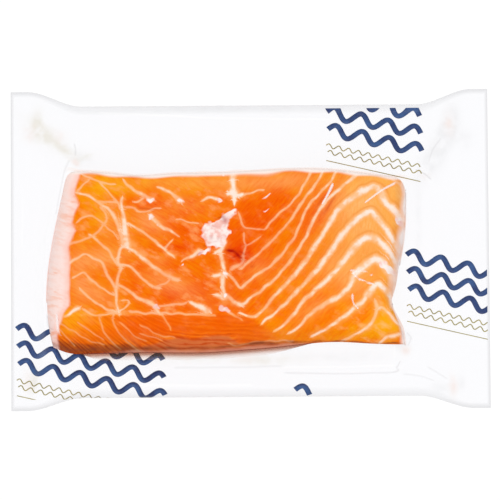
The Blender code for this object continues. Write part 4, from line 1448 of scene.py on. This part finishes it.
def tintColour(tree, fields, bands):  # the colour that the film gives to what is seen through it
    look = filmLook
    coords = addNode(tree, "ShaderNodeTexCoord", output="Object")
    patches = addNode(tree, "ShaderNodeTexNoise", {},
                      {"Vector": coords, "Scale": 1 / look["patchSize"], "Detail": 3}, "Fac")
    patchy = addNode(tree, "ShaderNodeMapRange", {}, dict(enumerate([patches, *look["tintCover"]])))
    # painted shade along the outline
    rim = addNode(tree, "ShaderNodeMapRange", {},
                  dict(enumerate([fields["rimDistance"], *look["rimCover"]])))
    tint = addNode(tree, "ShaderNodeMix", {"data_type": "RGBA"},
                   {0: rim, 6: look["clear"], 7: look["rim"]}, 2)
    layers = []
    for name in ("grey", "beige", "pink"):
        amount = addNode(tree, "ShaderNodeMath", {"operation": "MULTIPLY"}, {0: fields[name], 1: patchy})
        layers.append((amount, look[name]))
    layers += [
        (fields["overFish"], look["untinted"]),
        (fields["rosy"], look["rosy"]),
        (bands["grey"], look["creaseShade"]),
        # bright creases: painted highlight, the film left clear
        (bands["bright"], look["untinted"]),
    ]
    for factor, shade in layers:
        tint = addNode(tree, "ShaderNodeMix", {"data_type": "RGBA"}, {0: factor, 6: tint, 7: shade}, 2)
    return tint


def glossCover(tree, fields, bands):  # how much of the film is haze and gloss: more at a glance
    look = filmLook
    facing = addNode(tree, "ShaderNodeLayerWeight", {}, {"Blend": 0.5}, "Facing")
    glance = addNode(tree, "ShaderNodeMath", {"operation": "POWER"}, {0: facing, 1: look["glancePower"]})
    cover = addNode(tree, "ShaderNodeMath", {"operation": "MULTIPLY_ADD"},
                    {0: glance, 1: look["glancing"], 2: look["headOn"]})
    calm = addNode(tree, "ShaderNodeMapRange", {},
                   {0: fields["calm"], 1: 0.0, 2: 1.0, 3: 1.0, 4: look["calmed"]})
    cover = addNode(tree, "ShaderNodeMath", {"operation": "MULTIPLY"}, {0: cover, 1: calm})
    # painted highlight: white haze along the glints over the fish
    glint = addNode(tree, "ShaderNodeMath", {"operation": "MULTIPLY"},
                    {0: bands["bright"], 1: fields["overFish"]})
    glint = addNode(tree, "ShaderNodeMath", {"operation": "MULTIPLY"}, {0: glint, 1: look["glint"]})
    return addNode(tree, "ShaderNodeMath", {"operation": "MAXIMUM"}, {0: cover, 1: glint})


def clearFilm():
    look = filmLook
    material, tree = newMaterial("clearPouchFilm")
    fields = {}
    for name in ("greySide", "greyAway", "greyStrength", "brightSide", "brightAway", "brightStrength",
                 "rimDistance", "overFish", "calm", "grey", "beige", "pink", "rosy"):
        fields[name] = addNode(tree, "ShaderNodeAttribute", {"attribute_name": name}, output="Fac")
    bands = creaseBands(tree, fields)
    height = addNode(tree, "ShaderNodeMath", {"operation": "ADD"}, {0: bands["grey"], 1: bands["bright"]})
    bump = addNode(tree, "ShaderNodeBump", {},
                   {"Strength": look["bump"], "Distance": look["relief"], "Height": height})
    tint = tintColour(tree, fields, bands)
    through = addNode(tree, "ShaderNodeBsdfTransparent", {}, {"Color": tint})
    gloss = addNode(tree, "ShaderNodeBsdfPrincipled", {}, {"Base Color": look["haze"],
                    "Roughness": look["roughness"], "IOR": look["refraction"], "Normal": bump})
    cover = glossCover(tree, fields, bands)
    blend = addNode(tree, "ShaderNodeMixShader", {}, {0: cover, 1: through, 2: gloss})
    addNode(tree, "ShaderNodeOutputMaterial", {}, {"Surface": blend}, None)
    return material


ink = {
    "height": 0.12,  # of the ink above the pouch's underside
    "thickness": 0.06,
    "margin": 1.0,  # bare film along the pouch's edge
    "bendCuts": (0.3, 0.7, 1.2, 1.8),  # in from its long edges, where it has to bend
    "slant": -14,
    "fullRows": 3,  # rows of a full block
    "goldDrop": 25,  # how far the gold waves and the rule lie below the start of a full block
    "ruleDrop": 32.5,
    "blue": "#34588e",
    "blueDeep": "#22386c",
    "gold": "#b3a766",
    "goldDeep": "#9c9256",
    "patchSize": 7 * mm,  # of the patches where the roller left less
    "deepCover": (0.35, 0.65, 0.0, 1.0),  # from a range of their noise to a range of cover
    "roughness": 0.4,
    "gloss": 0.3,
}
# Blocks of printed water waves: where each starts, how wide it is, and how many rows it has
waveBlocks = (
    ((71, -3), 40, 3),
    ((35, 76), 44, 3),
    ((-106, -38), 68, 3),
    ((20, -68.5), 7, 1),
)
blueWave = {
    "Length": 40 * mm,
    "Wave Length": 12.5 * mm,
    "Wave Height": 5.2 * mm,
    "Stroke": 2.5 * mm,
    "Rows": 3,
    "Row Pitch": 8.2 * mm,
    "Row Shift": 2.5 * mm,
    "Point Spacing": 0.4 * mm,
    "Material": None,
}
goldWave = {
    "Length": 40 * mm,
    "Wave Length": 4.6 * mm,
    "Wave Height": 1.9 * mm,
    "Stroke": 0.5 * mm,
    "Rows": 2,
    "Row Pitch": 3.0 * mm,
    "Row Shift": 1.4 * mm,
    "Point Spacing": 0.4 * mm,
    "Material": None,
}
goldRule = {**goldWave, "Wave Length": 40 * mm, "Wave Height": 0.0, "Stroke": 0.4 * mm, "Rows": 1,
            "Row Shift": 0.0}


def wavePrintTree(sizes):  # rows of wavy ribbons, flat in the XY plane
    tree, given = newShapeTree("wavePrint", sizes)
    end = addNode(tree, "ShaderNodeCombineXYZ", {}, {"X": given["Length"]})
    line = addNode(tree, "GeometryNodeCurvePrimitiveLine", {}, {"Start": (0, 0, 0), "End": end})
    fine = addNode(tree, "GeometryNodeResampleCurve", {"mode": "LENGTH"},
                   {"Curve": line, "Length": given["Point Spacing"]})
    place = addNode(tree, "GeometryNodeInputPosition")
    along = addNode(tree, "ShaderNodeSeparateXYZ", {}, {0: place}, "X")
    turns = addNode(tree, "ShaderNodeMath", {"operation": "DIVIDE"}, {0: along, 1: given["Wave Length"]})
    turns = addNode(tree, "ShaderNodeMath", {"operation": "MULTIPLY"}, {0: turns, 1: 2 * math.pi})
    rise = addNode(tree, "ShaderNodeMath", {"operation": "SINE"}, {0: turns})
    half = addNode(tree, "ShaderNodeMath", {"operation": "MULTIPLY"}, {0: given["Wave Height"], 1: 0.5})
    rise = addNode(tree, "ShaderNodeMath", {"operation": "MULTIPLY"}, {0: rise, 1: half})
    offset = addNode(tree, "ShaderNodeCombineXYZ", {}, {"Y": rise})
    wavy = addNode(tree, "GeometryNodeSetPosition", {}, {"Geometry": fine, "Offset": offset})
    flat = addNode(tree, "GeometryNodeSetCurveNormal", {"mode": "Z_UP"}, {"Curve": wavy})
    halfStroke = addNode(tree, "ShaderNodeMath", {"operation": "MULTIPLY"}, {0: given["Stroke"], 1: 0.5})
    leftOut = addNode(tree, "ShaderNodeMath", {"operation": "MULTIPLY"}, {0: halfStroke, 1: -1.0})
    nibStart = addNode(tree, "ShaderNodeCombineXYZ", {}, {"X": leftOut})
    nibEnd = addNode(tree, "ShaderNodeCombineXYZ", {}, {"X": halfStroke})
    nib = addNode(tree, "GeometryNodeCurvePrimitiveLine", {}, {"Start": nibStart, "End": nibEnd})
    ribbon = addNode(tree, "GeometryNodeCurveToMesh", {}, {"Curve": flat, "Profile Curve": nib})
    down = addNode(tree, "ShaderNodeMath", {"operation": "MULTIPLY"}, {0: given["Row Pitch"], 1: -1.0})
    step = addNode(tree, "ShaderNodeCombineXYZ", {}, {"X": given["Row Shift"], "Y": down})
    rows = addNode(tree, "GeometryNodeMeshLine", {"mode": "OFFSET"},
                   {"Count": given["Rows"], "Offset": step})
    printed = addNode(tree, "GeometryNodeInstanceOnPoints", {}, {"Points": rows, "Instance": ribbon})
    endShapeTree(tree, printed, given["Material"])
    return tree


def printedInk(name, colour, deep):
    # Gravure ink on polyethylene film: thin and solid, under the gloss of the film itself. The eye sees
    # a flat colour that is a little uneven where the roller left less.
    material, tree = newMaterial(name)
    coords = addNode(tree, "ShaderNodeTexCoord", output="Object")
    cloud = addNode(tree, "ShaderNodeTexNoise", {},
                    {"Vector": coords, "Scale": 1 / ink["patchSize"], "Detail": 2}, "Fac")
    amount = addNode(tree, "ShaderNodeMapRange", {}, dict(enumerate([cloud, *ink["deepCover"]])))
    shade = addNode(tree, "ShaderNodeMix", {"data_type": "RGBA"}, {0: amount, 6: colour, 7: deep}, 2)
    shader = addNode(tree, "ShaderNodeBsdfPrincipled", {}, {"Base Color": shade,
                     "Roughness": ink["roughness"], "Specular IOR Level": ink["gloss"]})
    addNode(tree, "ShaderNodeOutputMaterial", {}, {"Surface": shader}, None)
    return material


def buildPrint(name, tree, sizes, drop):  # one piece of all its blocks, so far below a full block's start
    whole = bmesh.new()
    for (startX, startY), length, rows in waveBlocks:
        block = bpy.data.objects.new(name, bpy.data.meshes.new(name))
        bpy.context.scene.collection.objects.link(block)
        grow(block, tree, {**sizes, "Length": length * mm, "Rows": min(rows, sizes["Rows"])})
        turn = Matrix.Rotation(math.radians(ink["slant"]), 4, "Z")
        lower = drop * min(rows, ink["fullRows"]) / ink["fullRows"]
        place = Vector((startX, startY - lower, ink["height"])) * mm
        block.data.transform(Matrix.Translation(place) @ turn)
        whole.from_mesh(block.data)
        bpy.data.objects.remove(block)
    clipToPouch(whole)
    for face in whole.faces:
        face.normal_update()
        if face.normal.z < 0:
            face.normal_flip()
    for vertex in whole.verts:  # follows the film's underside up its rounded edges
        vertex.co.z += rollUnderside(vertex.co.x / mm, vertex.co.y / mm) * mm
    bmesh.ops.solidify(whole, geom=whole.faces[:], thickness=ink["thickness"] * mm)
    piece = pieceFrom(whole, name)
    piece.data.materials.append(sizes["Material"])
    return piece


def rollUnderside(x, y):  # how high the film's underside lies, close to a long edge
    tall = pouch["rimShare"] * edgeHeight(x)
    reach = pouch["undercut"] * pouch["rimShare"] * (edgeHeight(x) - pouch["sealThickness"])
    inward = min(backEdge(x) - y, y - frontEdge(x))
    t = min(max(1 - inward / max(reach, film["edgeTolerance"]), 0), 1)
    return tall * (1 - math.sqrt(1 - t * t))


def clipToPouch(bm):  # cuts the print off at the pouch's edges, with finer cuts where it has to bend
    end = pouch["length"] / 2 - ink["margin"]
    back = pouch["backEdge"] - ink["margin"] / 2
    front = pouch["frontEdge"] - ink["margin"] / 2
    cuts = [((end, 0), (1, 0), True), ((-end, 0), (-1, 0), True)]
    cuts += [((0, back), (0, 1), True), ((0, -front), (0, -1), True)]
    for step in ink["bendCuts"]:
        cuts.append(((0, back - step), (0, 1), False))
        cuts.append(((0, step - front), (0, -1), False))
    for (placeX, placeY), (outX, outY), cleared in cuts:
        geometry = bm.verts[:] + bm.edges[:] + bm.faces[:]
        bmesh.ops.bisect_plane(bm, geom=geometry, plane_co=(placeX * mm, placeY * mm, 0),
                               plane_no=(outX, outY, 0), clear_outer=cleared)


juice = {
    "Width": 4.4 * mm,
    "Flatness": 0.22,  # height of the bead against its width
    "Unevenness": 0.5,
    "Fullness": 0.9,
    "Patch Size": 16 * mm,
    "Point Spacing": 1.2 * mm,
    "Sides": 10,
    "Seed": 4.0,
    "Material": None,
}
juicePath = {
    "reach": (-80, 36),  # where along the fish's front side the juice shows
    "tapers": (14, 34),  # length over which it starts and ends
    "thinnest": 0.15,
    "points": 80,
    "out": 0.9,  # how far its middle lies outside the fish's foot
    "lift": 1.1,  # of its middle above the pouch's underside
    "fade": (-0.2, 2.4),  # from the fish's foot out, where it pales
}


def juiceBeadTree(sizes):  # an uneven bead of liquid along a line
    tree, given = newShapeTree("juiceBead", sizes)
    line = addNode(tree, "GeometryNodeMeshToCurve", {}, {"Mesh": given["Geometry"]})
    fine = addNode(tree, "GeometryNodeResampleCurve", {"mode": "LENGTH"},
                   {"Curve": line, "Length": given["Point Spacing"]})
    flat = addNode(tree, "GeometryNodeSetCurveNormal", {"mode": "Z_UP"}, {"Curve": fine})
    place = addNode(tree, "GeometryNodeInputPosition")
    pace = addNode(tree, "ShaderNodeMath", {"operation": "DIVIDE"}, {0: 1.0, 1: given["Patch Size"]})
    noise = addNode(tree, "ShaderNodeTexNoise", {"noise_dimensions": "4D"},
                    {"Vector": place, "W": given["Seed"], "Scale": pace, "Detail": 2.0}, "Fac")
    uneven = addNode(tree, "ShaderNodeMath", {"operation": "SUBTRACT"}, {0: noise, 1: 0.5})
    uneven = addNode(tree, "ShaderNodeMath", {"operation": "MULTIPLY"}, {0: uneven, 1: given["Unevenness"]})
    scale = addNode(tree, "ShaderNodeMath", {"operation": "MULTIPLY_ADD"},
                    {0: uneven, 1: 2.0, 2: given["Fullness"]})
    plenty = addNode(tree, "GeometryNodeInputNamedAttribute", {"data_type": "FLOAT"},
                     {"Name": "plenty"}, "Attribute")
    scale = addNode(tree, "ShaderNodeMath", {"operation": "MULTIPLY"}, {0: scale, 1: plenty})
    halfWidth = addNode(tree, "ShaderNodeMath", {"operation": "MULTIPLY"}, {0: given["Width"], 1: 0.5})
    ring = addNode(tree, "GeometryNodeCurvePrimitiveCircle", {},
                   {"Resolution": given["Sides"], "Radius": halfWidth})
    squash = addNode(tree, "ShaderNodeCombineXYZ", {}, {"X": 1.0, "Y": given["Flatness"], "Z": 1.0})
    oval = addNode(tree, "GeometryNodeTransform", {}, {"Geometry": ring, "Scale": squash})
    bead = addNode(tree, "GeometryNodeCurveToMesh", {},
                   {"Curve": flat, "Profile Curve": oval, "Scale": scale, "Fill Caps": True})
    endShapeTree(tree, bead, given["Material"])
    return tree


def fishJuice():
    # Thin juice that the fish gives off: clear, faintly peach, wet. The eye sees a warm, pale edge where
    # the film meets the worktop beside the fish.
    look = {
        "thick": "#d2ab98",
        "thin": "#fefcfb",
        "haze": "#ffeee6",
        "cover": (0.0, 1.0, 0.03, 0.15),  # of its gloss, from head on to a glance
        "roughness": 0.15,
        "refraction": 1.34,
    }
    material, tree = newMaterial("paleFishJuice")
    outward = addNode(tree, "ShaderNodeAttribute", {"attribute_name": "outward"}, output="Fac")
    tint = addNode(tree, "ShaderNodeMix", {"data_type": "RGBA"},
                   {0: outward, 6: look["thick"], 7: look["thin"]}, 2)
    through = addNode(tree, "ShaderNodeBsdfTransparent", {}, {"Color": tint})
    wet = addNode(tree, "ShaderNodeBsdfPrincipled", {}, {"Base Color": look["haze"],
                  "Roughness": look["roughness"], "IOR": look["refraction"]})
    facing = addNode(tree, "ShaderNodeLayerWeight", {}, {"Blend": 0.5}, "Facing")
    cover = addNode(tree, "ShaderNodeMapRange", {}, dict(enumerate([facing, *look["cover"]])))
    blend = addNode(tree, "ShaderNodeMixShader", {}, {0: cover, 1: through, 2: wet})
    addNode(tree, "ShaderNodeOutputMaterial", {}, {"Surface": blend}, None)
    return material


def buildJuice():
    start, end = juicePath["reach"]
    startTaper, endTaper = juicePath["tapers"]
    x = np.linspace(start, end, juicePath["points"])
    tapered = smoothStep(start, start + startTaper, x) * smoothStep(end, end - endTaper, x)
    y = fishFront(x) + 1 - (1 + juicePath["out"]) * tapered  # its ends lie under the fish
    bm = bmesh.new()
    line = [bm.verts.new((px * mm, py * mm, juicePath["lift"] * mm)) for px, py in zip(x, y)]
    for first, second in zip(line, line[1:]):
        bm.edges.new((first, second))
    piece = pieceFrom(bm, "juiceBead")
    setField(piece.data, "plenty", juicePath["thinnest"] + (1 - juicePath["thinnest"]) * tapered)
    sizes = {**juice, "Material": fishJuice()}
    grow(piece, juiceBeadTree(sizes), sizes)
    x, y, _ = placesOf(piece.data).T
    setField(piece.data, "outward", smoothStep(*juicePath["fade"], fishFront(x) - y))
    piece.data.shade_smooth()
    return piece


stage = {
    "floorSize": 6,  # in metres
    "floorDrop": 0.2,  # below the pack, so that the two don't mix
    "floor": "#5a5a5a",
    "floorLight": "#ffffff",
    "floorGlow": 0.93,
    "skyLow": "#ececee",
    "skyHigh": "#ffffff",
    "skyRise": 0.6,  # how far up it is at its brightest
    "sky": 0.81,
    "sun": 0.92,
    "sunTurn": (28, -8, 0),  # the light comes from the front and from the left
    "sunSize": 40,
    "elevation": 68,
    "roll": 0.4,
    "lens": 1500,  # so long that the pack's sides stay square
    "sensor": 36,
    "frameWidth": 227,
    "reach": 30,  # how far it sees, in metres
    "aim": (0, -0.1, 0),
}


def buildStage():
    bpy.ops.mesh.primitive_plane_add(size=stage["floorSize"], location=(0, 0, -stage["floorDrop"] * mm))
    floor = bpy.context.object
    floor.name = "paleFloor"
    material, tree = newMaterial("paleStudioCard")  # lit from below, like a photographer's light table
    shader = addNode(tree, "ShaderNodeBsdfPrincipled", {}, {"Base Color": stage["floor"], "Roughness": 0.9,
                     "Specular IOR Level": 0.0, "Emission Color": stage["floorLight"],
                     "Emission Strength": stage["floorGlow"]})
    addNode(tree, "ShaderNodeOutputMaterial", {}, {"Surface": shader}, None)
    floor.data.materials.append(material)


def buildLight():
    world = bpy.data.worlds.new("softStudio")
    bpy.context.scene.world = world
    world.use_nodes = True
    tree = world.node_tree
    tree.nodes.clear()
    coords = addNode(tree, "ShaderNodeTexCoord", output="Generated")
    height = addNode(tree, "ShaderNodeSeparateXYZ", {}, {0: coords}, "Z")
    ramp = addNode(tree, "ShaderNodeValToRGB", {}, {"Fac": height}, None)
    low, high = ramp.color_ramp.elements
    low.color = linearColour(stage["skyLow"])
    high.color = linearColour(stage["skyHigh"])
    high.position = stage["skyRise"]
    shade = addNode(tree, "ShaderNodeBackground", {},
                    {"Color": ramp.outputs["Color"], "Strength": stage["sky"]})
    addNode(tree, "ShaderNodeOutputWorld", {}, {"Surface": shade}, None)
    lamp = bpy.data.lights.new("softKey", "SUN")
    lamp.energy = stage["sun"]
    lamp.angle = math.radians(stage["sunSize"])
    key = bpy.data.objects.new("softKey", lamp)
    key.rotation_euler = [math.radians(turn) for turn in stage["sunTurn"]]
    bpy.context.scene.collection.objects.link(key)


def buildCamera():
    data = bpy.data.cameras.new("aboveFront")
    data.lens = stage["lens"]
    data.sensor_width = stage["sensor"]
    data.clip_end = stage["reach"]
    camera = bpy.data.objects.new("aboveFront", data)
    bpy.context.scene.collection.objects.link(camera)
    distance = stage["frameWidth"] * stage["lens"] / stage["sensor"]
    tilt = math.radians(stage["elevation"])
    back = Vector((0, -math.cos(tilt), math.sin(tilt)))
    turn = back.to_track_quat("Z", "Y").to_matrix() @ Matrix.Rotation(-math.radians(stage["roll"]), 3, "Z")
    place = (Vector(stage["aim"]) + back * distance) * mm
    camera.matrix_world = Matrix.Translation(place) @ turn.to_4x4()
    bpy.context.scene.camera = camera
    bpy.context.scene.view_settings.view_transform = "Standard"


def keep(piece):  # rides on the pack's one body, in place of its solid
    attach(piece, "root")
    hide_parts("sealed_pack")
    print(piece.name, "made,", len(piece.data.polygons), "faces")


buildStage()
buildLight()
buildCamera()
print("stage set")

portion = buildFish()
dressFish(portion)
portion.data.materials.append(salmonFlesh())
keep(portion)

pouchFilm = buildFilm()
sealPress["Material"] = clearFilm()
grow(pouchFilm, sealPressTree(sealPress), sealPress)
dressFilm(pouchFilm)
keep(pouchFilm)

blueWave["Material"] = printedInk("navyPrintInk", ink["blue"], ink["blueDeep"])
goldWave["Material"] = goldRule["Material"] = printedInk("goldPrintInk", ink["gold"], ink["goldDeep"])
waveTree = wavePrintTree(blueWave)
keep(buildPrint("navyWaves", waveTree, blueWave, 0))
keep(buildPrint("goldWaves", waveTree, goldWave, ink["goldDrop"]))
keep(buildPrint("goldRules", waveTree, goldRule, ink["ruleDrop"]))

keep(buildJuice())
